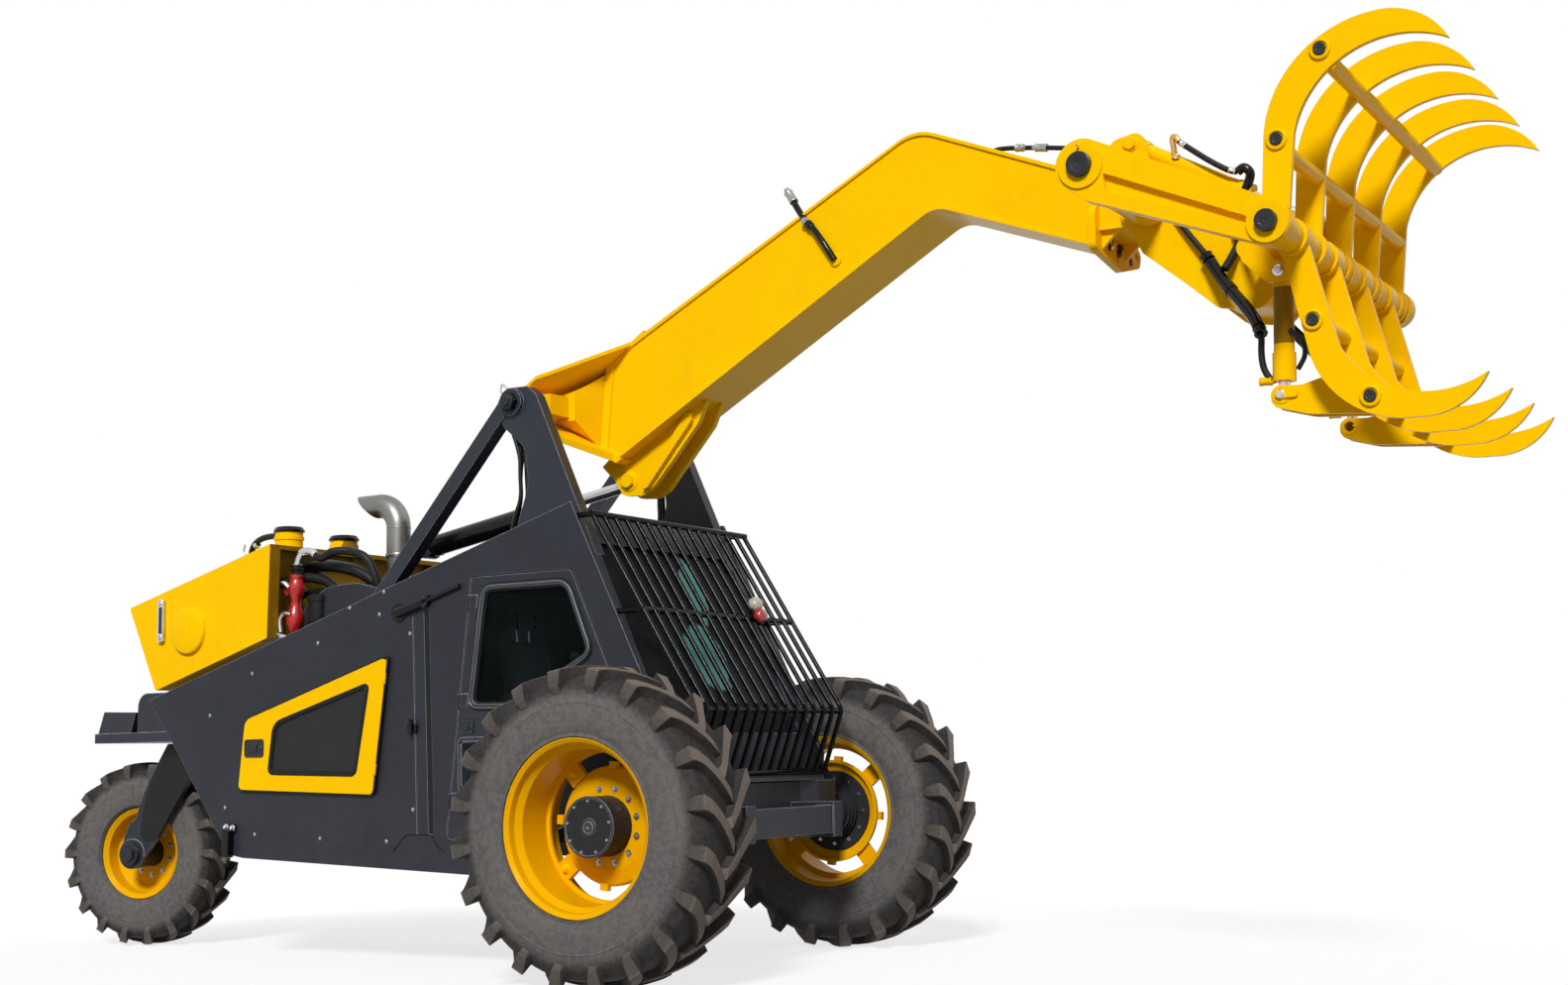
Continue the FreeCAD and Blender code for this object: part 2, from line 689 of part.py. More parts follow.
def front_guard():
    """Bent round bars over the windscreen, tied by four cross bars and held by stubs."""
    parts = []
    pitch = 2 * guard_half / (bar_count - 1)
    for i in range(bar_count):
        y = -guard_half + i * pitch
        parts.append(bent_bar(V(guard_top[0], y, guard_top[1]), V(guard_knee[0], y, guard_knee[1]),
                              V(guard_foot[0], y, guard_foot[1])))
    tie_r = bar_r + 4
    reach = guard_half + bar_r + 6
    middle = (0.5 * (guard_top[0] + guard_knee[0]) - 9, 0.5 * (guard_top[1] + guard_knee[1]) - 6)
    bend = (guard_knee[0] - 22, guard_knee[1] - 8)
    for place in (guard_top, middle, bend, guard_foot):
        parts.append(cross_bar(place, tie_r, -reach, reach))
    for side in (-1, 1):
        y = side * (guard_half - 20)
        for x, z, back in ((guard_top[0], guard_top[1], 4), (middle[0], middle[1], 4)):
            parts.append(bar(V(x, y, z), V(post_x(z) - back, y, z), bar_r + 2))
        parts.append(bar(V(guard_foot[0], y, guard_foot[1]), V(post_x(1080) - 5, y, 1120), bar_r + 2))
    return fuse(parts)


# --- engine bay -----------------------------------------------------------------------------------
def engine():
    return box(-2760, -1720, -340, 340, 905, 1900)


def engine_cover():
    """Rounded cover over the engine between the sheets."""
    outline = [(-2760, 1940), (-2717, 2164, 110), (-2519, 2262, 240), (-2290, 2268, 60),
               (-1800, 2150, 60), (-1800, 1940)]
    return side_plate(outline, -620, 180)


def tank():
    """Tank whose foot follows the side sheets' slope, with a sunk front face and two fillers."""
    foot_rear, foot_front = -3830.0, -2860.0
    foot_z = 1664.0
    outline = [(-4080, 2204, 12), (foot_rear, foot_z, 12), (foot_front, foot_z + side_slope * 970),
               (-2840, 2534)]
    lip = 90.0
    sunk = [(-2912, 1980), (-2790, 2010), (-2790, 2506), (-2902, 2506)]
    body = side_plate(outline, -body_half, body_half)
    body = body.cut(side_plate(sunk, -body_half + lip, body_half - lip))
    parts = [body]
    filler_r = 88.0
    for x, y, top in ((-3075, -400.0, 2655.0), (-2980, 0.0, 2625.0)):
        parts.append(Part.makeCylinder(filler_r, top - 2400, V(x, y, 2400)))
        parts.append(Part.makeCylinder(filler_r + 7, 22, V(x, y, top - 52)))
    return fuse(parts)


def exhaust():
    """Upright pipe with a bend that ends level, facing backwards, its mouth cut aslant."""
    x, y, r = -2240.0, -300.0, 75.0
    bend = 150.0
    top = 2627.0
    reach = 165.0
    half = bend * math.cos(math.pi / 4)
    turn = V(x - bend, y, top + bend)
    path = Part.Wire([Part.LineSegment(V(x, y, 2150), V(x, y, top)).toShape(),
                      Part.Arc(V(x, y, top), V(x - bend + half, y, top + half), turn).toShape(),
                      Part.LineSegment(turn, turn - V(reach, 0, 0)).toShape()])
    outer = path.makePipeShell([Part.Wire(Part.makeCircle(r, V(x, y, 2150)))], True, False)
    bore = bar(turn - V(reach + 1, 0, 0), turn - V(20, 0, 0), r - 4)
    mouth = [(turn.x - reach - 5, turn.z - r - 5), (turn.x - reach + 148, turn.z - r - 5),
             (turn.x - reach - 5, turn.z + r + 5)]
    return outer.cut([bore, side_plate(mouth, y - 100, y + 100)])


# --- boom -------------------------------------------------------------------------------------------
def boom_outline(inset):
    """Side view of the bent box, each wall drawn in by the inset."""
    i = inset
    return [(-665 + 2 * i, 2902 + 1.3 * i), (1500 + 0.3 * i, 4105 + i, 170), (2425, 3744 + i),
            (2440, 3826 + i), (2800 - i, 3815 + i, 30), (2830 - i, 3950 - i, 40),
            (1400 - 0.2 * i, 4565 - i, 260),
            (-550 + 2 * i, 3594 - 0.4 * i), (-704 + 3 * i, 3478), (-755 + 3 * i, 2985)]


def boom_box():
    """Flange plates with the side plates standing in between them, hollow inside."""
    skin = side_plate(boom_outline(0), -boom_half, boom_half)
    hollow = side_plate([(-480, 3080), (1500, 4135, 150), (2390, 3800), (2450, 3860), (2700, 3860),
                         (2740, 3900), (1400, 4520, 230), (-380, 3630)],
                        -boom_half + boom_inset + boom_wall, boom_half - boom_inset - boom_wall)
    outside = both_sides(boom_outline(18), boom_half - boom_inset, boom_half + boom_inset)
    return skin.cut([hollow] + outside)


def flare(reach):
    """Root that widens to the towers: sloping top and bottom plates with slanted webs between."""
    px, pz = boom_pivot
    back = px - 70

    def top_z(x):
        return pz + flare_hub_r + flare_slope * (x - px)

    def low_z(x):
        return pz - flare_hub_r - flare_slope * 1.06 * (x - px)
    t = flare_plate
    top = side_plate([(back, top_z(back)), (-430, top_z(-430)), (-430, top_z(-430) - t),
                      (back, top_z(back) - t)], -reach, reach)
    low = side_plate([(back, low_z(back)), (-640, low_z(-640)), (-600, low_z(-640) + t),
                      (back, low_z(back) + t)], -reach, reach)
    root = boom_half
    top_plan = [(back, -reach), (px + 98, -reach), (-520, -root), (-400, -root), (-400, root),
                (-520, root), (px + 98, reach), (back, reach)]
    low_plan = [(back, -reach), (px + 180, -reach), (-655, -root), (-560, -root), (-560, root),
                (-655, root), (px + 180, reach), (back, reach)]
    shapes = [top.common(plan_plate(top_plan, pz - 400, pz + 700)),
              low.common(plan_plate(low_plan, pz - 500, pz + 400)),
              cross_bar(boom_pivot, flare_hub_r, -reach, reach)]
    for side in (-1, 1):
        hub = [V(px - 30, side * 400, pz + 80), V(px + 190, side * 400, pz + 80),
               V(px + 192, side * 400, pz - 80), V(px - 30, side * 400, pz - 80)]
        inner = side * (root - boom_inset - 8)
        face = [V(px + 40, inner, pz + 118), V(-702, inner, 3450), V(-753, inner, low_z(-753) + 12),
                V(px + 40, inner, pz - 122)]
        shapes.append(Part.makeLoft([Part.makePolygon(hub + [hub[0]]),
                                     Part.makePolygon(face + [face[0]])], True, True))
        shapes.append(box(px - 30, px + 150, *sorted((side * 395, side * (reach - 70))), pz - 60, pz + 60))
    core = [(px - 20, pz + 60), (px + 40, pz + 118), (-690, 3440), (-560, 3520), (-560, 3010),
            (-700, 2950), (px + 40, pz - 118), (px - 20, pz - 60)]
    shapes.append(side_plate(core, -root + boom_inset + 8, root - boom_inset - 8))
    return fuse(shapes)


def lift_lug():
    """Twin rounded plates under the root that hold the lift cylinder's eye."""
    x, z = lift_eye
    outline = [(x - 190, z + 100), (x - 95, z + 5, 60), (x - 40, z - 88, 60), (x + 110, z - 96, 80),
               (x + 180, z - 48, 90), (x + 330, z + 110, 160), (x + 500, 3100, 60), (x + 560, 3225),
               (x - 20, 3040)]
    rib = [(x + 112, z - 60), (x + 150, z - 60, 30), (x + 470, 3112), (x + 470, 3160), (x + 430, 3160)]
    parts = both_sides(outline, 60, 98)
    parts += both_sides(rib, 94, 130)
    return parts


def nose_bracket():
    """Thick plate across the end of the box, deeper and wider than it, with a slot and a round hole."""
    face, back = 2446.0, 2406.0
    drop = [(-262, 3722, 40), (105, 3666, 60), (360, 3735, 50), (392, 3815, 40), (240, 3900, 60),
            (200, 3960), (-262, 3960, 70)]
    plate = cross_plate(drop, back, face)
    slot = cross_plate([(20, 3702, 12), (52, 3702, 12), (52, 3772, 12), (20, 3772, 12)], back - 20, face + 20)
    hole = bar(V(back - 20, 322, 3790), V(face + 20, 322, 3790), 24)
    brace = both_sides([(face - 5, 3840), (face - 5, 3730), (face + 110, 3840)], 150, 174)
    return [plate.cut([slot, hole])] + brace


def tilt_lug():
    """Twin rounded ears on the nose that hold the tilt cylinder."""
    x, z = tilt_base
    outline = [(x - 240, 4060), (x - 100, z + 34, 70), (x + 62, z + 62, 58), (x + 96, z - 60, 40),
               (x + 110, 3970)]
    return both_sides(outline, 56, 86)


def boom():
    """Bent hollow box with its flared root, lugs, nose tube and bracket."""
    reach = tower_y - tower_plate / 2 - 12
    parts = [boom_box(), flare(reach)] + lift_lug() + tilt_lug() + nose_bracket()
    parts.append(cross_bar(nose_pivot, nose_tube_r, -nose_tube_half, nose_tube_half))
    whole = fuse(parts)
    holes = [cross_bar(boom_pivot, boom_pin_r, -past, past),
             cross_bar(nose_pivot, nose_pin_r, -past, past),
             cross_bar(lift_eye, pin_r_for(60), -200, 200),
             cross_bar(tilt_base, pin_r_for(52), -200, 200),
             cross_bar(lift_eye, 72, -60, 60)]
    return whole.cut(holes)


# --- cylinders --------------------------------------------------------------------------------------
def pin_r_for(eye_r):
    """Pin radius that suits an eye."""
    return round(0.55 * eye_r) + fit_gap


def cylinder_barrel(base, eye, y, radius, length, eye_r, eye_half, rod_r, gland):
    """Barrel along the line from its base pin towards the rod's eye, open at the rod end."""
    start = V(base[0], y, base[1])
    along = (V(eye[0], y, eye[1]) - start).normalize()
    tube = bar(start + along * eye_r * 0.6, start + along * length, radius)
    collar = bar(start + along * (length - gland), start + along * length, radius + 7)
    foot = bar(start + along * eye_r * 0.9, start + along * (eye_r * 0.9 + 26), radius + 4)
    bore = bar(start + along * (eye_r + 40), start + along * (length + 1), rod_r + 1)
    lug = cross_bar(base, eye_r, y - eye_half, y + eye_half)
    hole = cross_bar(base, pin_r_for(eye_r), y - eye_half - 1, y + eye_half + 1)
    return fuse([tube, collar, foot, lug]).cut([bore, hole])


def cylinder_rod(base, eye, y, radius, start_at, eye_r, eye_half):
    """Rod from inside the barrel to its eye."""
    start = V(base[0], y, base[1])
    end = V(eye[0], y, eye[1])
    along = (end - start).normalize()
    shaft = bar(start + along * start_at, end - along * eye_r * 0.7, radius)
    lug = cross_bar(eye, eye_r, y - eye_half, y + eye_half)
    return fuse([shaft, lug]).cut(cross_bar(eye, pin_r_for(eye_r), y - eye_half - 1, y + eye_half + 1))


# --- grab -------------------------------------------------------------------------------------------
def from_jaw(points):
    """Moves (x, z[, r]) given from the jaw pivot to the machine."""
    return [(p[0] + jaw_pivot[0], p[1] + jaw_pivot[1]) + tuple(p[2:]) for p in points]


def tine(shank, outer, tip, inner, y):
    """Curved flat tine: two straight shank edges, arcs to the tip. Points are (x, z) from the jaw
    pivot: shank = (rear foot, rear top, front top, front foot), outer = two arcs, inner = one."""
    def at(p):
        return V(jaw_pivot[0] + p[0], y - tine_plate / 2, jaw_pivot[1] + p[1])
    edges = [Part.LineSegment(at(shank[0]), at(shank[1])).toShape(),
             Part.Arc(at(shank[1]), at(outer[0]), at(outer[1])).toShape(),
             Part.Arc(at(outer[1]), at(outer[2]), at(tip)).toShape(),
             Part.Arc(at(tip), at(inner), at(shank[2])).toShape(),
             Part.LineSegment(at(shank[2]), at(shank[3])).toShape(),
             Part.LineSegment(at(shank[3]), at(shank[0])).toShape()]
    return Part.Face(Part.Wire(edges)).extrude(V(0, tine_plate, 0))


def upper_tine(y):
    return tine([(-62, 0), (-30, 430), (110, 420), (62, 0)],
                [(200, 812), (550, 908), (700, 852)], (812, 722), (330, 718), y)


def lower_tine(y):
    return tine([(-60, -20), (52, -545), (190, -530), (62, 20)],
                [(240, -815), (520, -890), (690, -862)], (832, -722), (430, -750), y)


def jaw_ties(bolts, shift, reach):
    """Tie tubes across a jaw, and a boss for each tie's bolt on the outer face of the outermost tines."""
    tubes = []
    for bolt in bolts:
        place = (jaw_pivot[0] + bolt[0], jaw_pivot[1] + bolt[1])
        tube = (place[0] + shift[0], place[1] + shift[1])
        tubes.append(cross_bar(tube, jaw_tie_r, -reach, reach))
        for side in (-1, 1):
            face = side * (reach + tine_plate / 2)
            tubes.append(cross_bar(place, tie_boss_r, face - side, face + side * 8))
    return tubes


def upper_jaw():
    """Five fixed tines, hub rings and two tie tubes."""
    parts = jaw_ties(upper_bolts, tie_shift, 2 * tine_pitch)
    for i in range(-2, 3):
        y = i * tine_pitch
        parts.append(upper_tine(y))
        parts.append(cross_bar(jaw_pivot, tine_ring_r, y - tine_ring_half, y + tine_ring_half))
    outer = 2 * tine_pitch + tine_ring_half - 1
    for side in (-1, 1):
        parts.append(cross_bar(jaw_pivot, sleeve_r + 6, side * outer, side * (link_mid_y - link_width / 2)))
    return fuse(parts).cut(cross_bar(jaw_pivot, jaw_pin_r, -past, past))


def lower_jaw():
    """Four moving tines on sleeves that turn about the jaw pin, tie tubes and cylinder ears."""
    parts = jaw_ties(lower_bolts, (0, 0), 1.5 * tine_pitch)
    half = tine_pitch / 2 - tine_ring_half - side_gap
    for i in (-2, -1, 0, 1):
        y = (i + 0.5) * tine_pitch
        parts.append(lower_tine(y))
        parts.append(cross_bar(jaw_pivot, sleeve_r, y - half, y + half))
        parts.append(cross_bar(jaw_pivot, sleeve_r + 14, y - 62, y + 62))
        for end in (-1, 1):
            outer = y + end * half
            if abs(abs(outer) - grab_y) > grab_barrel_r + side_gap:
                parts.append(cross_bar(jaw_pivot, sleeve_r + 11, outer - end * 56, outer))
    ear = from_jaw([(-178, -655, 44), (-178, -752, 50), (0, -806, 200), (330, -834, 30), (350, -750, 30),
                    (70, -640, 60), (-30, -665, 90)])
    for side in (-1, 1):
        for offset in (-48.0, 48.0):
            y = side * grab_y + offset
            parts.append(side_plate(ear, y - 10, y + 10))
            parts.append(cross_bar(grab_eye, 44, y - 14, y + 14))
    holes = [cross_bar(grab_eye, pin_r_for(48), -past, past),
             cross_bar(jaw_pivot, jaw_pin_r + fit_gap, -past, past)]
    for side in (-1, 1):
        holes.append(cross_bar(grab_eye, 60, side * grab_y - 34, side * grab_y + 34))
    return fuse(parts).cut(holes)


def link_pin(place):
    """Pin through both side links, standing out of their rings."""
    reach = link_mid_y + link_width / 2 + link_ring + pin_cap
    radius = nose_pin_r - fit_gap if place == nose_pivot else jaw_pin_r
    return cross_bar(place, radius, -reach, reach)


def side_link(side):
    """Tapering link between nose pin and jaw pin: a pocket along both faces, a ring at each end."""
    mid = side * link_mid_y
    low = mid - link_width / 2
    high = mid + link_width / 2
    start = V(nose_pivot[0], 0, nose_pivot[1])
    end = V(jaw_pivot[0], 0, jaw_pivot[1])
    along = (end - start).normalize()
    up = V(-along.z, 0, along.x)

    def at(base, run, rise, *more):
        p = base + along * run + up * rise
        return (p.x, p.z) + more
    nose_r, jaw_r = 130.0, 102.0
    outline = [at(start, 0, nose_r), at(end, 0, jaw_r), at(end, 0, -jaw_r), at(start, 80, -150, 120),
               at(start, 0, -nose_r)]
    outer = side * (link_mid_y + link_width / 2 + link_ring)
    parts = [side_plate(outline, low, high), cross_bar(nose_pivot, nose_r, low, high),
             cross_bar(jaw_pivot, jaw_r, low, high), cross_bar(nose_pivot, link_ring_r, mid, outer),
             cross_bar(jaw_pivot, jaw_r - 4, mid, outer)]
    pocket = [at(start, 120, -4, 6), at(end, -96, -4, 4), at(end, -96, -34, 4), at(start, 168, -82, 30)]
    depth = 0.36 * link_width
    cuts = [side_plate(pocket, low - 1, low + depth), side_plate(pocket, high - depth, high + 1),
            cross_bar(nose_pivot, nose_pin_r, -past, past), cross_bar(jaw_pivot, jaw_pin_r, -past, past)]
    return fuse(parts).cut(cuts)


def gooseneck():
    """Box between the nose tube and the jaw: two cheeks, a curved belly plate and a top plate."""
    x0, z0 = nose_pivot
    inner = boom_half + 12
    cheek = [(x0 - 60, z0 + 118, 30), (x0 + 150, z0 + 80, 60), (3290, 3640, 100), (3420, 3600, 40),
             (3420, 3420, 40), (3290, 3290, 80), (3070, 3325, 80), (2925, 3458, 200), (x0 - 40, z0 - 235, 50),
             (x0 - 130, z0 - 40, 60)]
    parts = both_sides(cheek, inner, inner + 28)
    for side in (-1, 1):
        parts.append(cross_bar(nose_pivot, 150, side * inner, side * (inner + 28)))
    belly = [(2800, 3585), (2935, 3476, 200), (3080, 3350, 60), (3290, 3316, 60), (3400, 3400), (3400, 3430),
             (3290, 3346, 40), (3088, 3378, 60), (2945, 3504, 200), (2820, 3604)]
    roof = [(3010, 3760), (3290, 3640, 80), (3400, 3590), (3400, 3560), (3290, 3605, 60), (3010, 3725)]
    parts.append(side_plate(belly, -inner - weld_lap, inner + weld_lap))
    parts.append(side_plate(roof, -inner - weld_lap, inner + weld_lap))
    return parts


def grab_arm():
    """Gooseneck, the cross tube behind the jaw pin, and the ears for the cylinders."""
    tube_place = (3360, 3500)
    tube_half = 664.0
    parts = gooseneck()
    parts.append(cross_bar(tube_place, 50, -tube_half, tube_half))
    inner_web = [(3330, 3560, 20), (3560, 3560), (3560, 3340, 50), (3510, 3308, 40), (3450, 3320, 40),
                 (3330, 3440, 30)]
    parts += both_sides(inner_web, tine_pitch - tine_plate / 2, tine_pitch + tine_plate / 2)
    outer_web = [(3330, 3550, 30), (3400, 3550, 30), (3490, 3430, 30), (3562, 3380, 40), (3548, 3312, 40),
                 (3450, 3318, 40), (3330, 3440, 30)]
    parts += both_sides(outer_web, tube_half - 24, tube_half)
    ear = [(3300, 3600), (3440, 3815, 50), (3540, 3815, 44), (3560, 3560), (3360, 3500)]
    parts += both_sides(ear, 40, 62)
    whole = fuse(parts)
    cuts = [cross_bar(nose_pivot, nose_tube_r + 0.3, -past, past),
            cross_bar(grab_base, pin_r_for(52), -past, past),
            cross_bar(tilt_eye, pin_r_for(45), -100, 100)]
    return whole.cut(cuts)


# --- write the parts --------------------------------------------------------------------------------
def write_chassis():
    """Frame, body and cab: pieces that meet are cut to each other's faces."""
    axle = front_axle()
    head = rear_head()
    sheets = [side_sheet(1).cut(axle), side_sheet(-1).cut(axle)]
    pin = boom_pin()
    uprights = [tower(1).cut([sheets[0], pin]), tower(-1).cut([sheets[1], pin])]
    shell = cab_shell().cut(uprights)
    pipe = exhaust()
    write("front_axle", axle)
    write("rear_head", head)
    write("frame", frame().cut([axle, head]))
    write("left_side_sheet", sheets[0])
    write("right_side_sheet", sheets[1])
    write("towers", Part.Compound(uprights))
    write("boom_pin", pin)
    write("cab_shell", shell)
    write("windscreen", windscreen())
    write("cab_seat", cab_seat())
    write("seat_base", seat_base())
    write("steering_column", steering_column().cut(shell))
    write("consoles", Part.Compound([control_console(1), control_console(-1)]))
    write("front_guard", front_guard().cut(sheets + [shell] + uprights))
    write("engine", engine())
    write("engine_cover", engine_cover().cut(pipe))
    write("tank", tank())
    write("exhaust", pipe)


def write_wheels():
    for side, name in ((1, "left"), (-1, "right")):
        rubber, metal = front_wheel(side)
        write(name + "_front_tyre", rubber)
        write(name + "_front_rim", metal)
    rubber, metal = rear_wheel()
    write("rear_tyre", steered(rubber))
    write("rear_rim", steered(metal))
    write("rear_fork", steered(rear_fork()))


def write_doors():
    for side, name in ((1, "left"), (-1, "right")):
        write(name + "_door", door(side))
        write(name + "_door_glass", door_glass(side))
        write(name + "_vent_lid", vent_lid(side))


def write_boom():
    write("boom", boom())
    write("lift_barrel", cylinder_barrel(lift_base, lift_eye, 0, lift_barrel_r, lift_barrel_length,
                                         70, 50, lift_rod_r, lift_gland))
    write("lift_rod", cylinder_rod(lift_base, lift_eye, 0, lift_rod_r, 450, 60, 50))
    write("tilt_barrel", cylinder_barrel(tilt_base, tilt_eye, 0, tilt_barrel_r, tilt_barrel_length,
                                         52, 48, tilt_rod_r, tilt_gland))
    write("tilt_rod", cylinder_rod(tilt_base, tilt_eye, 0, tilt_rod_r, 300, 45, 32))


def write_grab():
    upper = upper_jaw()
    pins = [link_pin(nose_pivot), link_pin(jaw_pivot)]
    write("grab_arm", grab_arm().cut([upper] + pins))
    write("side_links", Part.Compound([side_link(1), side_link(-1)]))
    write("link_pins", Part.Compound(pins))
    write("upper_jaw", upper)
    write("lower_jaw", lower_jaw())
    for side, name in ((1, "left"), (-1, "right")):
        y = side * grab_y
        write(name + "_grab_barrel", cylinder_barrel(grab_base, grab_eye, y, grab_barrel_r,
                                                     grab_barrel_length, 52, 54, grab_rod_r,
                                                     grab_gland))
        write(name + "_grab_rod", cylinder_rod(grab_base, grab_eye, y, grab_rod_r, 150, 48, 30))


def main():
    os.makedirs("parts", exist_ok=True)
    write_chassis()
    write_wheels()
    write_doors()
    write_boom()
    write_grab()


main()
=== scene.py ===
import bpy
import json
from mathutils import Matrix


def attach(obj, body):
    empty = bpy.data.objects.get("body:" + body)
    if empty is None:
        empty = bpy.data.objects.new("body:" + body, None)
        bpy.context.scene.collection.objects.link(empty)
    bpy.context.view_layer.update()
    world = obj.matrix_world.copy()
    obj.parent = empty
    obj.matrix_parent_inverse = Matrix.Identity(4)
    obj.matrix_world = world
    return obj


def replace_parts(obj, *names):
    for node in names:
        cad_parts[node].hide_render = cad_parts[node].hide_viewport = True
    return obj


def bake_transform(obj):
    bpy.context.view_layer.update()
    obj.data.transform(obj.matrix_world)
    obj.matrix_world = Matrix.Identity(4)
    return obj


bl_info = {
    "name": "Cane loader",
    "version": (1, 0, 0),
    "blender": (4, 5, 0),
    "location": "3D View > Sidebar > Cane loader",
    "description": "Finishes and fittings of a three-wheeled cane loader",
    "category": "Object",
}

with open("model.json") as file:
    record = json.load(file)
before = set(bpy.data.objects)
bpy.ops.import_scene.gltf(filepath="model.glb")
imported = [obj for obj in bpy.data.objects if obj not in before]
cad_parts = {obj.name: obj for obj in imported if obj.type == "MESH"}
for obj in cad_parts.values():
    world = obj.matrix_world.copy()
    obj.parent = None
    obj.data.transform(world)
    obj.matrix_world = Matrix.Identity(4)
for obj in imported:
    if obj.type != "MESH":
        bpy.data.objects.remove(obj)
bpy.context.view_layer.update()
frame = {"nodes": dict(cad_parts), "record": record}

import json
import bmesh
import bpy
import numpy as np
from mathutils import Matrix, Vector

JOINTS = {j["name"]: j for j in frame["record"]["behaviour"]["joints"]}
NODES = frame["nodes"]
TURN = 2 * np.pi
SIDES = ((-1, "right"), (1, "left"))
AXLE_X = 1000.0 * JOINTS["left_front_wheel_spin"]["pos_m"][0]
FLANK = 0.8         # the side sheets' faces from the middle plane, in metres
LID_FACE = 0.825    # the lids' faces


# --- points and frames ----------------------------------------------------------------------------
def mm(x, y, z):
    """Point in metres from millimetres, x counted from the front axle."""
    return np.array((x + AXLE_X, y, z)) / 1000.0


def route(points, side=1):
    """Points in metres from (x, y, z) in millimetres: x from the front axle, y outwards on its side."""
    return (np.asarray(points, float) * (1, side, 1) + (AXLE_X, 0.0, 0.0)) / 1000.0


def flat(points):
    """Outline in metres from (x, z) in millimetres, x counted from the front axle."""
    return (np.asarray(points, float) + (AXLE_X, 0.0)) / 1000.0


def pivot(joint, y):
    """A joint's place across the machine: (x, y, z) in millimetres, x counted from the front axle."""
    x, _, z = 1000.0 * np.array(JOINTS[joint]["pos_m"])
    return x - AXLE_X, y, z


def rect(left, low, right, high):
    """Corners of a rectangle."""
    return [(left, low), (right, low), (right, high), (left, high)]


def unit(v):
    """Vectors of length one along the last axis."""
    v = np.asarray(v, float)
    return v / np.linalg.norm(v, axis=-1, keepdims=True)


def basis(direction):
    """Three columns whose third points along direction."""
    w = unit(direction)
    other = (0.0, 0.0, 1.0) if abs(w[2]) < 0.9 else (1.0, 0.0, 0.0)
    u = unit(np.cross(other, w))
    return np.stack([u, np.cross(w, u), w], axis=1)


# --- surfaces -------------------------------------------------------------------------------------
def grid(points, wrap_u=False, wrap_v=False, tag=0.0):
    """Surface over a grid of points: cell (i, j) joins rows i, i+1 and columns j, j+1."""
    points = np.asarray(points, float)
    nu, nv = points.shape[:2]
    i = np.arange(nu if wrap_u else nu - 1)[:, None]
    j = np.arange(nv if wrap_v else nv - 1)[None, :]
    i2, j2 = (i + 1) % nu, (j + 1) % nv
    faces = np.stack([i * nv + j, i2 * nv + j, i2 * nv + j2, i * nv + j2], axis=-1).reshape(-1, 4)
    tags = np.broadcast_to(np.asarray(tag, float), (nu, nv)).reshape(-1)
    return points.reshape(-1, 3), faces, tags


def join(*shapes):
    """One shape out of several, their faces renumbered."""
    offset = np.cumsum([0] + [len(s[0]) for s in shapes[:-1]])
    return (np.concatenate([s[0] for s in shapes]),
            np.concatenate([s[1] + o for s, o in zip(shapes, offset)]),
            np.concatenate([s[2] for s in shapes]))


def moved(shape, place=(0, 0, 0), direction=(0, 0, 1)):
    """Shape with its own z axis laid along direction and its origin at place."""
    return shape[0] @ basis(direction).T + np.asarray(place, float), shape[1], shape[2]


def shifted(shape, x, y):
    """Flat shape carried to (x, y) of its own drawing, unturned."""
    return shape[0] + np.array((x, y, 0.0)), shape[1], shape[2]


def copies(shape, places, directions):
    """The same shape at every place, its z axis along the direction that goes with it."""
    frames = np.stack([basis(d) for d in directions])
    points = np.einsum("pk,nik->npi", shape[0], frames) + np.asarray(places, float)[:, None, :]
    n = len(frames)
    steps = np.arange(n)[:, None, None] * len(shape[0])
    return points.reshape(-1, 3), (shape[1][None] + steps).reshape(-1, 4), np.tile(shape[2], n)


def lathe(profile, sides=40):
    """Profile of (radius, height) turned round z: (r cos a, r sin a, h)."""
    profile = np.asarray(profile, float)
    a = np.linspace(0, TURN, sides, endpoint=False)
    r, h = profile[:, :1], profile[:, 1:]
    return grid(np.stack([r * np.cos(a), r * np.sin(a), h + 0 * a], axis=-1), wrap_v=True)


def disc(radius, height, cut, drop, sides=32, foot=0.0):
    """Round plate whose top edge is cut back by cut and down by drop."""
    rim = [(radius, foot), (radius, height - drop), (radius - cut, height)]
    return lathe([(0, foot), *rim, (0, height)], sides)


def hoop(inner, outer, half, cut, sides):
    """Closed strap round z, its outer edges cut back."""
    drop = 0.006
    return lathe([(inner, -half), (outer - cut, -half), (outer, drop - half), (outer, half - drop),
                  (outer - cut, half), (inner, half), (inner, -half)], sides)


def around(centre, axis, radius, count, start=0.0):
    """Evenly spaced points on a circle round an axis, start in turns."""
    a = TURN * (np.arange(count) / count + start)
    f = basis(axis)
    ring = np.stack([np.cos(a), np.sin(a), 0 * a], axis=-1) * radius
    return ring @ f.T + np.asarray(centre, float)


def smooth_path(points, count=60):
    """Curve through the points: Catmull-Rom, each span the usual cubic of its four neighbours."""
    p = np.asarray(points, float)
    p = np.concatenate([2 * p[:1] - p[1:2], p, 2 * p[-1:] - p[-2:-1]])
    t = np.linspace(0, len(p) - 3 - 1e-9, count)
    k = t.astype(int)
    t = (t - k)[:, None]
    a, b, c, d = p[k], p[k + 1], p[k + 2], p[k + 3]
    square, cube = 2 * a - 5 * b + 4 * c - d, 3 * b - a - 3 * c + d
    return 0.5 * (2 * b + (c - a) * t + square * t ** 2 + cube * t ** 3)


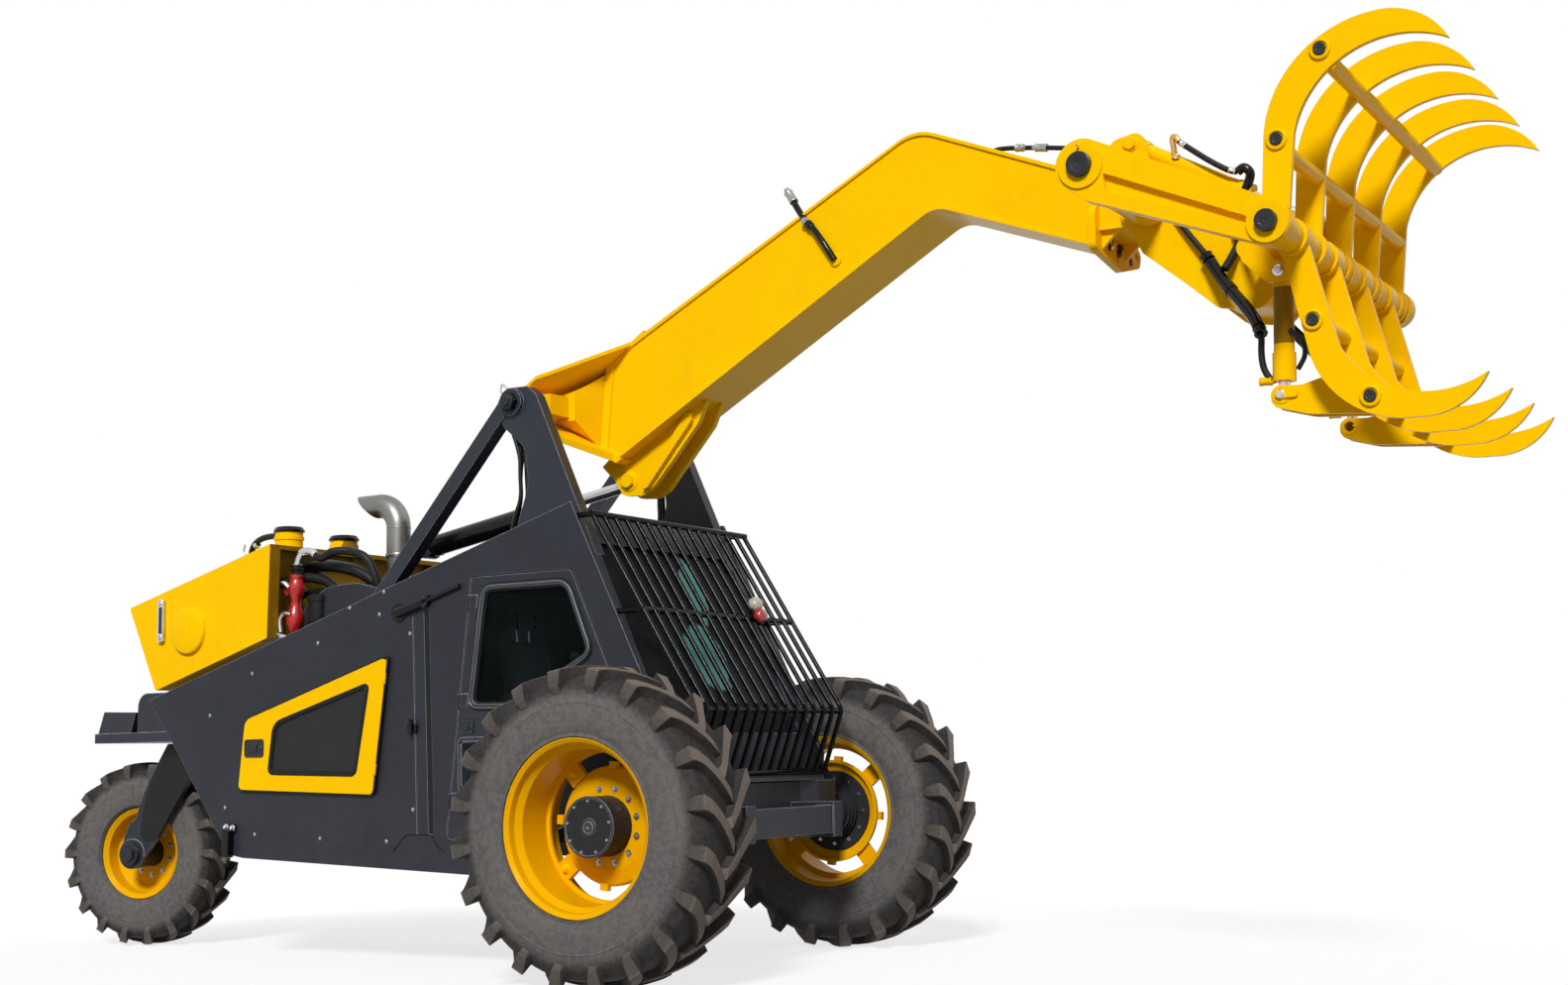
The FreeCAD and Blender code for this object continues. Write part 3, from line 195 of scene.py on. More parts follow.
def along(path, section):
    """Section of (side, up) offsets carried along a path and closed at both ends.

    Each frame is the last one with the new tangent's part taken out of its side vector.
    """
    path = np.asarray(path, float)
    section = np.asarray(section, float)
    tangent = unit(np.gradient(path, axis=0))
    side = basis(tangent[0])[:, 0]
    sides = []
    for t in tangent:
        side = unit(side - t * np.dot(side, t))
        sides.append(side)
    sides = np.array(sides)
    ups = np.cross(tangent, sides)
    if section.ndim == 2:
        section = np.broadcast_to(section, (len(path),) + section.shape)
    rows = path[:, None] + section[..., :1] * sides[:, None] + section[..., 1:] * ups[:, None]
    first, last = [np.broadcast_to(path[k:][:1, None], rows[:1].shape) for k in (0, -1)]
    return grid(np.concatenate([first, rows, last]), wrap_v=True)


def circle(radius, sides=12):
    """Ring of (side, up) offsets; radius may be one number or one for each point of a path."""
    a = np.linspace(0, TURN, sides, endpoint=False)
    ring = np.stack([np.cos(a), np.sin(a)], axis=-1)
    radius = np.asarray(radius, float)
    return ring * radius if radius.ndim == 0 else ring * radius[:, None, None]


def tube(points, radius, sides=12, count=60):
    """Round tube along a smooth path through points."""
    return along(smooth_path(points, count), circle(radius, sides))


def rounded(outline, radius=0.01, steps=5):
    """Closed outline in a plane with its corners replaced by curves that start radius away."""
    p = np.asarray(outline, float)
    radius = np.broadcast_to(np.asarray(radius, float), len(p))[:, None]
    back, ahead = unit(np.roll(p, 1, axis=0) - p), unit(np.roll(p, -1, axis=0) - p)
    a, c = p + back * radius, p + ahead * radius
    t = np.linspace(0, 1, steps)[None, :, None]
    curve = a[:, None] * (1 - t) ** 2 + 2 * p[:, None] * t * (1 - t) + c[:, None] * t ** 2
    return curve.reshape(-1, p.shape[1])


def inset(outline, amount):
    """Closed outline in a plane moved to its left by amount, along the mean of both edge normals."""
    p = np.asarray(outline, float)
    e = unit(np.roll(p, -1, axis=0) - p)
    n = np.stack([-e[:, 1], e[:, 0]], axis=-1)
    m = n + np.roll(n, 1, axis=0)
    m = m / np.maximum(np.sum(m * np.roll(n, 1, axis=0), axis=1, keepdims=True), 0.2)
    return p + m * amount


def counterclockwise(outline):
    """Outline turned round if its signed area is negative."""
    p = np.asarray(outline, float)
    area = np.sum(p[:, 0] * np.roll(p[:, 1], -1) - np.roll(p[:, 0], -1) * p[:, 1])
    return p if area > 0 else p[::-1]


def slab(outline, low, high, edge=0.002):
    """Plate with softened edges: the outline at six levels, inset at both faces, closed to its middle."""
    p = counterclockwise(outline)
    small = inset(p, edge)
    middle = np.broadcast_to(p.mean(0), p.shape)
    rows = [(middle, low), (small, low), (p, low + edge), (p, high - edge), (small, high), (middle, high)]
    return grid(np.stack([np.column_stack([q, np.full(len(q), h)]) for q, h in rows]), wrap_v=True)


def plate(points, corner, low, high, edge=0.002):
    """Slab of a rounded outline in millimetres, x counted from the front axle."""
    return slab(rounded(flat(points), corner), low, high, edge)


def band(outline, inner, outer, low, high, edge=0.002):
    """Closed frame that follows an outline: a section with two soft edges carried round it."""
    p = counterclockwise(outline)
    section = [(inner, low), (inner, high - edge), (inner - edge, high), (outer + edge, high),
               (outer, high - edge), (outer, low)]
    rows = [np.column_stack([inset(p, a), np.full(len(p), h)]) for a, h in section]
    return grid(np.stack(rows), wrap_u=True, wrap_v=True)


def on_side(shape, side, face=FLANK):
    """Shape drawn as (x, z, height) laid on an upright plane of a side, its height pointing outwards."""
    v, faces, tags = shape
    return np.column_stack([v[:, 0], side * face + side * v[:, 2], v[:, 1]]), faces, tags


def paired(shape, *places):
    """The shape on both sides at each place (x, y, z) in millimetres, facing outwards."""
    return [moved(shape, mm(x, side * y, z), (0, side, 0)) for x, y, z in places for side, _ in SIDES]


def bolt_ring(head, centre, axis, radius, count, start=0.0, facing=1):
    """Bolts evenly round a circle, their heads along its axis or, with facing -1, against it."""
    return copies(head, around(centre, axis, radius, count, start), [facing * np.asarray(axis)] * count)


def hexagon_radius(angle, half):
    """Distance to the edge of a hexagon whose flats stand half away: half / cos(angle from the flat)."""
    return half / np.cos((angle + np.pi / 6) % (np.pi / 3) - np.pi / 6)


def hex_bolt(half, height, collar=1.7, stub=0.0):
    """Chamfered bolt head on a washer, both round z, with a stub of thread on top.

    half is the head's width across flats by two, and collar the washer's radius as a share of it.
    """
    a = np.linspace(0, TURN, 24, endpoint=False)
    hexagon = hexagon_radius(a, half)
    levels = [(hexagon, 0.0), (hexagon, height * 0.86), (np.minimum(hexagon, half * 1.03), height),
              (0 * a + half * 0.8, height)]
    if stub:
        levels += [(0 * a + half * 0.55, height), (0 * a + half * 0.55, height + stub),
                   (0 * a + half * 0.45, height + stub * 1.15)]
    levels += [(0 * a, levels[-1][1])]
    head = grid(np.stack([np.stack([r * np.cos(a), r * np.sin(a), h + 0 * a], -1) for r, h in levels]),
                wrap_v=True)
    rim, thick = half * collar, height * 0.22
    return join(disc(rim, thick, rim * 0.05, thick * 0.3, 24, -0.001), head)


def dome_screw(radius):
    """Low round head with a socket in it."""
    return lathe([(0, -0.001), (radius * 1.35, -0.001), (radius * 1.35, radius * 0.12),
                  (radius * 1.05, radius * 0.2), (radius, radius * 0.35), (radius * 0.75, radius * 0.75),
                  (radius * 0.48, radius * 0.86), (radius * 0.42, radius * 0.45), (0, radius * 0.4)], 20)


def piece(name, shape, finish, body, crease=40.0, marked=False):
    """Blender object of a shape: doubles merged, faces outwards, edges sharp above the crease angle.

    finish is the name of a shared finish, or a material of the piece's own.
    """
    mesh = bpy.data.meshes.new(name)
    mesh.from_pydata(shape[0].tolist(), [], shape[1].tolist())
    if marked:
        mark = mesh.attributes.new("mark", "FLOAT", "POINT")
        mark.data.foreach_set("value", shape[2])
    work = bmesh.new()
    work.from_mesh(mesh)
    bmesh.ops.remove_doubles(work, verts=work.verts, dist=2e-6)
    bmesh.ops.dissolve_degenerate(work, edges=work.edges, dist=1e-6)
    bmesh.ops.recalc_face_normals(work, faces=work.faces)
    work.to_mesh(mesh)
    work.free()
    mesh.shade_smooth()
    mesh.set_sharp_from_angle(angle=np.radians(crease))
    mesh.materials.append(shared()[finish] if isinstance(finish, str) else finish)
    thing = bpy.data.objects.new(name, mesh)
    bpy.context.scene.collection.objects.link(thing)
    if body:
        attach(thing, body)
    return thing


# --- shader expressions ---------------------------------------------------------------------------
class Wire:
    """A shader output that works in sums: an expression on values adds its Math nodes."""

    def __init__(self, paint, socket):
        self.paint = paint
        self.socket = socket

    def math(self, operation, *values, clamp=False):
        settings = {"operation": operation, "use_clamp": clamp}
        return self.paint.node("ShaderNodeMath", settings, dict(enumerate(values)))[0]

    def __add__(self, other):
        return self.math("ADD", self, other)

    def __radd__(self, other):
        return self.math("ADD", other, self)

    def __sub__(self, other):
        return self.math("SUBTRACT", self, other)

    def __rsub__(self, other):
        return self.math("SUBTRACT", other, self)

    def __mul__(self, other):
        return self.math("MULTIPLY", self, other)

    def __rmul__(self, other):
        return self.math("MULTIPLY", other, self)

    def __truediv__(self, other):
        return self.math("DIVIDE", self, other)

    def __rtruediv__(self, other):
        return self.math("DIVIDE", other, self)

    def __pow__(self, other):
        return self.math("POWER", self, other)

    def above(self, edge, soft=0.02):
        """0 below the edge and 1 above it, with a soft step between."""
        return self.paint.node("ShaderNodeMapRange", {"interpolation_type": "SMOOTHSTEP"},
                               {"Value": self, "From Min": edge - soft, "From Max": edge + soft})[0]

    def below(self, edge, soft=0.02):
        return 1 - self.above(edge, soft)

    def most(self, other):
        return self.math("MAXIMUM", self, other)

    def sine(self):
        return self.math("SINE", self)

    def magnitude(self):
        return self.math("ABSOLUTE", self)

    def held(self):
        """The value kept between 0 and 1."""
        return self.math("ADD", self, 0.0, clamp=True)


class Paint:
    """A material, or the world, under construction."""

    def __init__(self, name, world=None):
        self.material = world or bpy.data.materials.new(name)
        self.material.use_nodes = True
        self.tree = self.material.node_tree
        self.tree.nodes.clear()
        self.spot = None if world else self.node("ShaderNodeTexCoord")["Object"]

    def node(self, kind, settings=(), values=()):
        """Adds a node: its settings first, then numbers, colours or wires for its sockets."""
        made = self.tree.nodes.new(kind)
        for key, value in dict(settings).items():
            setattr(made, key, value)
        for key, value in dict(values).items():
            socket = made.inputs[key]
            if isinstance(value, Wire):
                self.tree.links.new(value.socket, socket)
            else:
                socket.default_value = value
        return Outputs(self, made)

    def noise(self, scale, detail=4.0, rough=0.55, spot=None):
        values = {"Vector": spot or self.spot, "Scale": scale, "Detail": detail, "Roughness": rough}
        return self.node("ShaderNodeTexNoise", {}, values)[0]

    def cells(self, scale):
        return self.node("ShaderNodeTexVoronoi", {}, {"Vector": self.spot, "Scale": scale})["Distance"]

    def axes(self):
        """The three coordinates as wires."""
        split = self.node("ShaderNodeSeparateXYZ", {}, {0: self.spot})
        return split[0], split[1], split[2]

    def stretched(self, scale):
        """Coordinates scaled by axis."""
        return self.node("ShaderNodeMapping", {}, {"Vector": self.spot, "Scale": scale})[0]

    def vector(self, operation, first, second=(0, 0, 0)):
        """Vector maths on two vectors."""
        return self.node("ShaderNodeVectorMath", {"operation": operation}, {0: first, 1: second})

    def blend(self, share, first, second, kind="MIX"):
        """Colour between two, by share."""
        def rgba(c):
            return c if isinstance(c, Wire) else tuple(c)[:3] + (1.0,)
        return self.node("ShaderNodeMix", {"data_type": "RGBA", "blend_type": kind, "clamp_factor": True},
                         {0: share, 6: rgba(first), 7: rgba(second)})[2]

    def soft_edge(self, radius):
        """Normal of the surface with its edges rounded."""
        return self.node("ShaderNodeBevel", {"samples": 4}, {"Radius": radius})[0]

    def rubbed(self, rounded_normal):
        """1 on edges and 0 on flats: how far the rounded normal leans from the true one. It masks edge wear
        and painted highlight.
        """
        true = self.node("ShaderNodeNewGeometry")["Normal"]
        return (1 - self.vector("DOT_PRODUCT", rounded_normal, true)["Value"]).above(0.07, 0.05)

    def bump(self, height, distance, normal=None):
        """Normal of the surface raised by height times distance."""
        values = {"Height": height, "Distance": distance, "Strength": 1.0}
        if normal:
            values["Normal"] = normal
        return self.node("ShaderNodeBump", {}, values)[0]

    def finish(self, **sockets):
        """Principled surface; underscores in the names stand for spaces."""
        values = {key.replace("_", " "): value for key, value in sockets.items()}
        return self.out(self.node("ShaderNodeBsdfPrincipled", {}, values)[0])

    def out(self, surface):
        self.node("ShaderNodeOutputMaterial", {}, {"Surface": surface})
        return self.material


class Outputs:
    """A node's outputs, by name or number."""

    def __init__(self, paint, made):
        self.paint = paint
        self.made = made

    def __getitem__(self, key):
        return Wire(self.paint, self.made.outputs[key])


# --- finishes -------------------------------------------------------------------------------------
def colours():
    """The user's colours."""
    return bpy.context.scene.loader.colours


def yellow_paint(name="loader_yellow", extra=None):
    """Glossy yellow enamel: slow tone drift, faint runs of dust, a painted highlight along the edges,
    orange peel.
    """
    p = Paint(name)
    round_normal = p.soft_edge(0.0025)
    edge = p.rubbed(round_normal)
    drift = p.noise(1.7, 2.0)
    grime = p.noise(9.0, 7.0, 0.68)
    streak = p.noise(14.0, 5.0, 0.6, p.stretched((1.0, 1.0, 0.12)))
    peel = p.noise(260.0, 1.0)
    colour = p.blend((drift - 0.42) * 2.2, colours().yellow, colours().yellow_light)
    colour = p.blend(grime.above(0.64, 0.1) * 0.08, colour, (0.55, 0.26, 0.004))
    colour = p.blend(streak.above(0.66, 0.08) * 0.06, colour, (0.42, 0.24, 0.03))
    # Paler yellow along the edges is a painted highlight.
    colour = p.blend(edge * 0.15, colour, (1.0, 0.66, 0.02))
    rough = 0.24 + grime * 0.16
    normal = p.bump(peel + grime * 0.8, 0.00035, round_normal)
    if extra:
        colour, rough = extra(p, colour, rough)
    return p.finish(Base_Color=colour, Roughness=rough, Normal=normal, Specular_IOR_Level=0.09,
                    Specular_Tint=(1.0, 0.70, 0.18, 1.0))


def painted_tank_shade(p, colour, rough):
    """Painted shade on the tank's face toward the engine: a deep brown over the yellow."""
    x, y, _ = p.axes()
    # The face toward the engine is darkened as painted shade.
    near = x.above(-2.515, 0.002) * y.magnitude().below(FLANK - 0.003, 0.001)
    return p.blend(near * 0.78, colour, (0.10, 0.045, 0.006)), rough


def painted_barrel_shade(p, colour, rough):
    """Painted shade: a dark brown, glossier length of a grab cylinder's barrel between its head and its end
    collar.
    """
    height, low, high = p.axes()[2], 3.03, 3.30
    length = height.above(low, 0.004) * height.below(high, 0.004)
    # The length is darkened to brown as painted shade.
    return p.blend(length * 0.80, colour, (0.11, 0.050, 0.008)), rough * (1 - length * 0.5)


def wheel_frame(p, joint):
    """Axial distance and radius of a point, from a wheel's joint."""
    place, axis = JOINTS[joint]["pos_m"], unit(JOINTS[joint]["axis"])
    shift = p.vector("SUBTRACT", p.spot, tuple(place))[0]
    axial = p.vector("DOT_PRODUCT", shift, tuple(axis))["Value"]
    reach = p.vector("LENGTH", shift)["Value"]
    return axial, (reach * reach - axial * axial).most(0.0) ** 0.5


def rim_paint(name, joint, hub, flange, dish, outboard):
    """Yellow rim toned deeper amber all over as painted shade; its hub, and the flange behind the dish, are
    dark: chosen by radius and axial place.
    """
    def hub_grey(p, colour, rough):
        axial, radius = wheel_frame(p, joint)
        inner = radius.below(hub, 0.0006)
        if flange:
            behind = (axial * outboard).below(dish, 0.001)
            inner = inner.most(radius.below(flange, 0.0006) * behind)
        dusty = p.noise(18.0, 6.0, 0.7)
        dark = p.blend(dusty, (0.016, 0.017, 0.02), (0.035, 0.036, 0.04))
        # The rim's yellow is toned deeper amber all over: painted shade.
        colour = p.blend(0.45, colour, (0.56, 0.20, 0.0010))
        return p.blend(inner, colour, dark), rough * (1 - inner) + inner * 0.36
    return yellow_paint(name, hub_grey)


def body_paint(name="body_grey", shade=None, rough=0.40, low_dust=1.0, extra=None):
    """Satin anthracite: fine grain, light along the edges as wear and painted highlight, dust gathering low
    down.
    """
    p = Paint(name)
    shade = shade or tuple(colours().grey)
    round_normal = p.soft_edge(0.006)
    edge = p.rubbed(round_normal)
    cloud = p.noise(2.4, 4.0, 0.6)
    grain = p.noise(420.0, 2.0)
    smear = p.noise(11.0, 8.0, 0.7)
    height = p.axes()[2]
    pale = tuple(c * 1.55 for c in shade)
    colour = p.blend((cloud - 0.3) * 1.6, shade, pale)
    settled = height.below(1.0, 0.8) * smear.above(0.52, 0.2) * 0.14 * low_dust
    colour = p.blend(settled.most(smear.above(0.66, 0.1) * 0.05), colour, (0.085, 0.075, 0.062))
    # Pale edges: partly wear, partly a painted highlight.
    colour = p.blend(edge * (0.7 + smear * 0.5), colour, (0.40, 0.42, 0.46))
    if extra:
        colour = extra(p, colour)
    normal = p.bump(grain + smear * 0.6, 0.00025, round_normal)
    return p.finish(Base_Color=colour, Roughness=(rough + smear * 0.14).held(), Normal=normal,
                    Specular_IOR_Level=0.27)


def fork_paint():
    """Grey fork whose outer blades are black: chosen by their distance from the wheel's middle plane."""
    def blades(p, colour):
        axial, radius = wheel_frame(p, "rear_wheel_spin")
        outer = axial.magnitude().above(0.2085, 0.0008) * radius.above(0.125, 0.002)
        return p.blend(outer, colour, (0.0035, 0.0036, 0.0042))
    return body_paint("fork_grey", extra=blades)


def gloss_black(name="gloss_black", shade=None, rough=0.09, shine=0.22, edge=0.002):
    """Black enamel on bars and the lift cylinder."""
    p = Paint(name)
    shade = shade or tuple(colours().black)
    round_normal = p.soft_edge(edge)
    smear = p.noise(16.0, 6.0, 0.65)
    colour = p.blend(smear.above(0.6, 0.12) * 0.25, shade, (0.022, 0.021, 0.020))
    normal = p.bump(p.noise(200.0, 1.0), 0.0002, round_normal)
    return p.finish(Base_Color=colour, Roughness=rough + smear * 0.12, Normal=normal,
                    Specular_IOR_Level=shine)


def dark_iron():
    """Oiled pin steel and black nuts, with bright worn corners."""
    p = Paint("dark_iron")
    round_normal = p.soft_edge(0.002)
    edge = p.rubbed(round_normal)
    smear = p.noise(30.0, 6.0, 0.7)
    colour = p.blend(smear, (0.006, 0.0065, 0.0075), (0.020, 0.021, 0.023))
    colour = p.blend(edge * 0.5, colour, (0.22, 0.22, 0.23))
    normal = p.bump(p.noise(150.0, 3.0), 0.0003, round_normal)
    return p.finish(Base_Color=colour, Roughness=0.22 + smear * 0.2, Metallic=0.10, Normal=normal,
                    Specular_IOR_Level=0.35)


def bright_steel(name="bright_steel", shade=(0.60, 0.60, 0.61), rough=0.14):
    """Bare metal of bolts, rods and unions: plated, worn or brass, by its shade."""
    p = Paint(name)
    smear = p.noise(40.0, 5.0, 0.6)
    tarnish = p.noise(9.0, 5.0, 0.65).above(0.58, 0.12)
    colour = p.blend(tarnish * 0.5, shade, (0.30, 0.28, 0.25))
    normal = p.bump(smear, 0.0002)
    return p.finish(Base_Color=colour, Roughness=rough + smear * 0.18, Metallic=1.0, Normal=normal)


def brushed_pipe():
    """Exhaust steel: fine lines round the pipe, straw and blue heat tones near the foot."""
    p = Paint("brushed_pipe")
    lines = p.noise(60.0, 4.0, 0.6, p.stretched((1.0, 1.0, 9.0)))
    patch = p.noise(7.0, 5.0, 0.6)
    colour = p.blend(patch, (0.17, 0.165, 0.155), (0.27, 0.27, 0.265))
    warm = p.axes()[2].below(2.45, 0.25) * patch
    colour = p.blend(warm * 0.8, colour, (0.12, 0.09, 0.065))
    normal = p.bump(lines, 0.0003)
    return p.finish(Base_Color=colour, Roughness=0.26 + lines * 0.22, Metallic=1.0, Normal=normal)


def rubber(name, joint, radius):
    """Dusty tyre rubber: mottled wall, moulded rings, pale brown worn lug tops; the tread and the lugs'
    flanks are kept dark as painted shade.
    """
    p = Paint(name)
    _, r = wheel_frame(p, joint)
    mottle = p.noise(34.0, 8.0, 0.72)
    broad = p.noise(5.0, 4.0, 0.6)
    crust = p.noise(120.0, 4.0, 0.7)
    worn = p.node("ShaderNodeAttribute", {"attribute_name": "mark"})["Fac"]
    # Pale rubber on the wall only; the tread and the lugs' flanks stay dark as painted shade.
    wall = (r / radius).below(0.83, 0.05)
    colour = p.blend(mottle.above(0.52, 0.16), (0.016, 0.0145, 0.0135), (0.034, 0.031, 0.029))
    pale = p.blend(mottle.above(0.5, 0.12), (0.096, 0.091, 0.090), (0.142, 0.133, 0.127))
    colour = p.blend(wall * (0.62 + broad * 0.5), colour, pale)
    mud = (broad.above(0.52, 0.12) * mottle.above(0.48, 0.1)) * (wall * 0.2 + 0.1)
    colour = p.blend(mud, colour, (0.135, 0.105, 0.082))
    brown = p.blend(crust.above(0.55, 0.15), (0.205, 0.168, 0.142), (0.120, 0.098, 0.082))
    colour = p.blend(worn * (0.55 + mottle * 0.5), colour, brown)
    rings = (r * 900.0).sine() * (r / radius).below(0.62, 0.01)
    height = mottle * 0.5 + crust * 0.5 + rings * 0.12
    return p.finish(Base_Color=colour, Roughness=(0.66 + mottle * 0.25).held(),
                    Normal=p.bump(height, 0.0022), Specular_IOR_Level=0.30)


def green_patches(p, colour, share):
    """Sea-green colour in three wavering ellipses: each centre and half size in (y, z)."""
    _, y, z = p.axes()
    wobble = (p.noise(9.0, 3.0, 0.6) - 0.5) * 1.6
    for middle, half in (((0.17, 2.15), (0.11, 0.22)), ((0.03, 1.74), (0.22, 0.21)),
                         ((-0.13, 2.42), (0.12, 0.035))):
        a, b = (y - middle[0]) / half[0], (z - middle[1]) / half[1]
        inside = (a * a + b * b + wobble).below(0.8, 0.12)
        colour = p.blend(inside * share, colour, (0.15, 0.42, 0.37))
    return colour


def tinted_glass(name="tinted_glass", tint=(0.006, 0.009, 0.010), clear=0.93, green=0.0, shine=0.18,
                 rough=0.04):
    """Dark cab glass: a thin film of dust over a pane that lets a little through."""
    p = Paint(name)
    film = p.noise(3.0, 4.0, 0.6)
    colour = p.blend(film.above(0.55, 0.2) * 0.5, tint, (0.018, 0.024, 0.026))
    if green:
        colour = green_patches(p, colour, green)
    glass = p.node("ShaderNodeBsdfPrincipled", {}, {"Base Color": colour, "Roughness": rough,
                                                    "Specular IOR Level": shine})
    see = p.node("ShaderNodeBsdfTransparent", {}, {"Color": (0.86, 0.93, 0.94, 1.0)})
    share = (clear - film * 0.1).held()
    return p.out(p.node("ShaderNodeMixShader", {}, {0: share, 1: glass[0], 2: see[0]})[0])


def moulded(name, shade=(0.020, 0.020, 0.021), rough=0.5):
    """Black moulded plastic or hose rubber with a fine grain."""
    p = Paint(name)
    grain = p.cells(320.0)
    smear = p.noise(12.0, 5.0, 0.6)
    colour = p.blend(smear, shade, tuple(c * 1.9 for c in shade))
    return p.finish(Base_Color=colour, Roughness=rough + smear * 0.12, Normal=p.bump(grain, 0.0005),
                    Specular_IOR_Level=0.2)


def enamel(name, shade, dark, rough=0.22):
    """Small painted fittings, such as the red valve."""
    p = Paint(name)
    smear = p.noise(24.0, 5.0, 0.65)
    colour = p.blend(smear.above(0.5, 0.2), shade, dark)
    return p.finish(Base_Color=colour, Roughness=rough + smear * 0.2, Normal=p.bump(smear, 0.0005),
                    Coat_Weight=0.3)


def cloth():
    """Woven seat cloth: two crossed sets of threads and a soft sheen."""
    p = Paint("seat_cloth")
    x, y, z = p.axes()
    weave = (y * 1400.0).sine() * ((x + z) * 1400.0).sine()
    fade = p.noise(6.0, 4.0)
    colour = p.blend(weave * 0.5 + 0.5, (0.075, 0.090, 0.110), (0.145, 0.168, 0.195))
    colour = p.blend(fade.above(0.55, 0.15) * 0.4, colour, (0.17, 0.18, 0.19))
    return p.finish(Base_Color=colour, Roughness=0.85, Normal=p.bump(weave, 0.0012), Sheen_Weight=0.4)


def mesh_sheet():
    """Woven wire: a fine square lattice, black between the wires as painted shade of the bay behind it."""
    p = Paint("lid_mesh")
    x, _, z = p.axes()
    wire = ((x + z) * 330.0).sine().most(((x - z) * 330.0).sine()).above(0.15, 0.25)
    smear = p.noise(8.0, 5.0)
    # Black between the wires is painted shade of the bay behind.
    colour = p.blend(wire * (0.5 + smear * 0.6), (0.0012, 0.0012, 0.0012), (0.026, 0.027, 0.029))
    return p.finish(Base_Color=colour, Roughness=0.5, Normal=p.bump(wire, 0.001), Specular_IOR_Level=0.2)


def lens(name, shade):
    """Ribbed lamp glass."""
    p = Paint(name)
    ribs = p.cells(180.0)
    colour = p.blend(ribs * 2.0, shade, tuple(c * 0.5 for c in shade))
    return p.finish(Base_Color=colour, Roughness=0.08, Normal=p.bump(ribs, 0.001), Coat_Weight=0.8)


# --- tyres ----------------------------------------------------------------------------------------
def wheel_points(joint, radius, axial, angle):
    """Points from radius, distance along the axle and angle from straight up towards the front."""
    centre = np.array(JOINTS[joint]["pos_m"])
    axis = unit(JOINTS[joint]["axis"])
    up = np.array((0.0, 0.0, 1.0))
    front = np.cross(axis, up)
    radius, axial, angle = np.broadcast_arrays(radius, axial, angle)
    return (centre + (radius * np.sin(angle))[..., None] * front
            + (radius * np.cos(angle))[..., None] * up + axial[..., None] * axis)


def carcass(joint, size):
    """Tyre body: a half section of share of height and share of half width, mirrored and turned."""
    height = size.radius - size.bead
    wall = [(0.12, 0.955), (0.17, 0.99), (0.26, 1.012), (0.36, 1.015), (0.45, 1.0), (0.495, 0.988),
            (0.505, 0.996), (0.515, 0.997), (0.525, 0.982), (0.62, 0.945), (0.70, 0.90), (0.77, 0.84),
            (0.825, 0.76), (0.86, 0.62), (0.875, 0.36), (0.88, 0.0)]
    half = [(size.bead + 0.002, size.rim_half - 0.040), (size.bead + 0.017, size.rim_half - 0.034),
            (size.flange + 0.0025, size.rim_half - 0.026), (size.flange + 0.0035, size.rim_half + 0.001)]
    half += [(size.bead + t * height, y * size.width / 2) for t, y in wall]
    half = np.array(half)
    section = np.concatenate([half, half[-2::-1] * (1, -1)])
    angle = np.linspace(0, TURN, 144, endpoint=False)
    return grid(wheel_points(joint, section[:, :1], section[:, 1:], angle), wrap_u=True, wrap_v=True)


def broken(corners, count=4):
    """Evenly many points on straight runs between corners, every corner among them."""
    corners = np.asarray(corners, float)
    k = np.linspace(0, len(corners) - 1, (len(corners) - 1) * count + 1)
    return np.stack([np.interp(k, np.arange(len(corners)), c) for c in corners.T], axis=-1)


def lug_rows(size):
    """A lug's outer line and foot line, and its widths along them.

    Lines are shares of half width and of height: along the tread, over the shoulder's corner and
    down the wall. Widths are shares of the tyre's radius.
    """
    outer = broken([(-0.085, 0.86), (-0.045, 0.985), (0.20, 1.0), (0.50, 0.996), (0.76, 0.986),
                    (0.955, 0.962), (1.0, 0.84), (1.01, 0.735), (0.955, 0.655)])
    inner = broken([(-0.10, 0.84), (-0.08, 0.84), (0.20, 0.84), (0.50, 0.84), (0.68, 0.82), (0.78, 0.78),
                    (0.86, 0.72), (0.90, 0.66), (0.93, 0.64)])
    widths = broken([(0.034, 0.046), (0.040, 0.052), (0.044, 0.056), (0.045, 0.058), (0.047, 0.060),
                     (0.050, 0.063), (0.048, 0.060), (0.041, 0.048), (0.029, 0.036)])
    return outer, inner, widths[:, 0] * size.radius, widths[:, 1] * size.radius


def closed_ends(rows):
    """Rows with their first and last drawn together to their middles, so that a lug's ends close."""
    first, last = [row.mean(1, keepdims=True).repeat(row.shape[1], 1) for row in (rows[:1], rows[-1:])]
    return np.concatenate([first, rows, last])


def lugs(joint, size):
    """Two rows of bars: each runs from near the middle, sweeps back to the shoulder and down the wall.

    Its angle is the nose's lead times (1 - share of half width) to a power, so it bends more
    towards the middle of the tread.
    """
    outer, inner, wide, foot = lug_rows(size)
    height = size.radius - size.bead
    lead = size.lead * np.maximum(1 - outer[:, 0], 0) ** 1.45
    rise, across, at_top = np.array([(0.0, -1.0, 0.0), (0.94, -1.0, 1.0), (1.0, -0.90, 1.0),
                                     (1.0, 0.90, 1.0), (0.94, 1.0, 1.0), (0.0, 1.0, 0.0)]).T
    line = inner[:, None] + (outer - inner)[:, None] * rise[None, :, None]
    width = foot[:, None] + (wide - foot)[:, None] * at_top[None]
    angle = closed_ends(lead[:, None] + across[None] * width / size.radius)
    wear = np.interp(np.linspace(0, 1, len(line)), [0, 0.62, 0.66, 1], [1, 1, 0.42, 0.30])[:, None]
    mark = (rise > 0.95)[None] * wear
    mark = np.concatenate([mark[:1], mark, mark[-1:]])
    line = closed_ends(line)
    shapes = []
    for side, phase in ((1, 0.0), (-1, 0.5)):
        for turn in TURN * (np.arange(size.lugs) + phase + size.phase) / size.lugs:
            points = wheel_points(joint, size.bead + line[..., 1] * height,
                                  side * line[..., 0] * size.width / 2, angle + turn)
            shapes.append(grid(points, wrap_v=True, tag=mark))
    return join(*shapes)


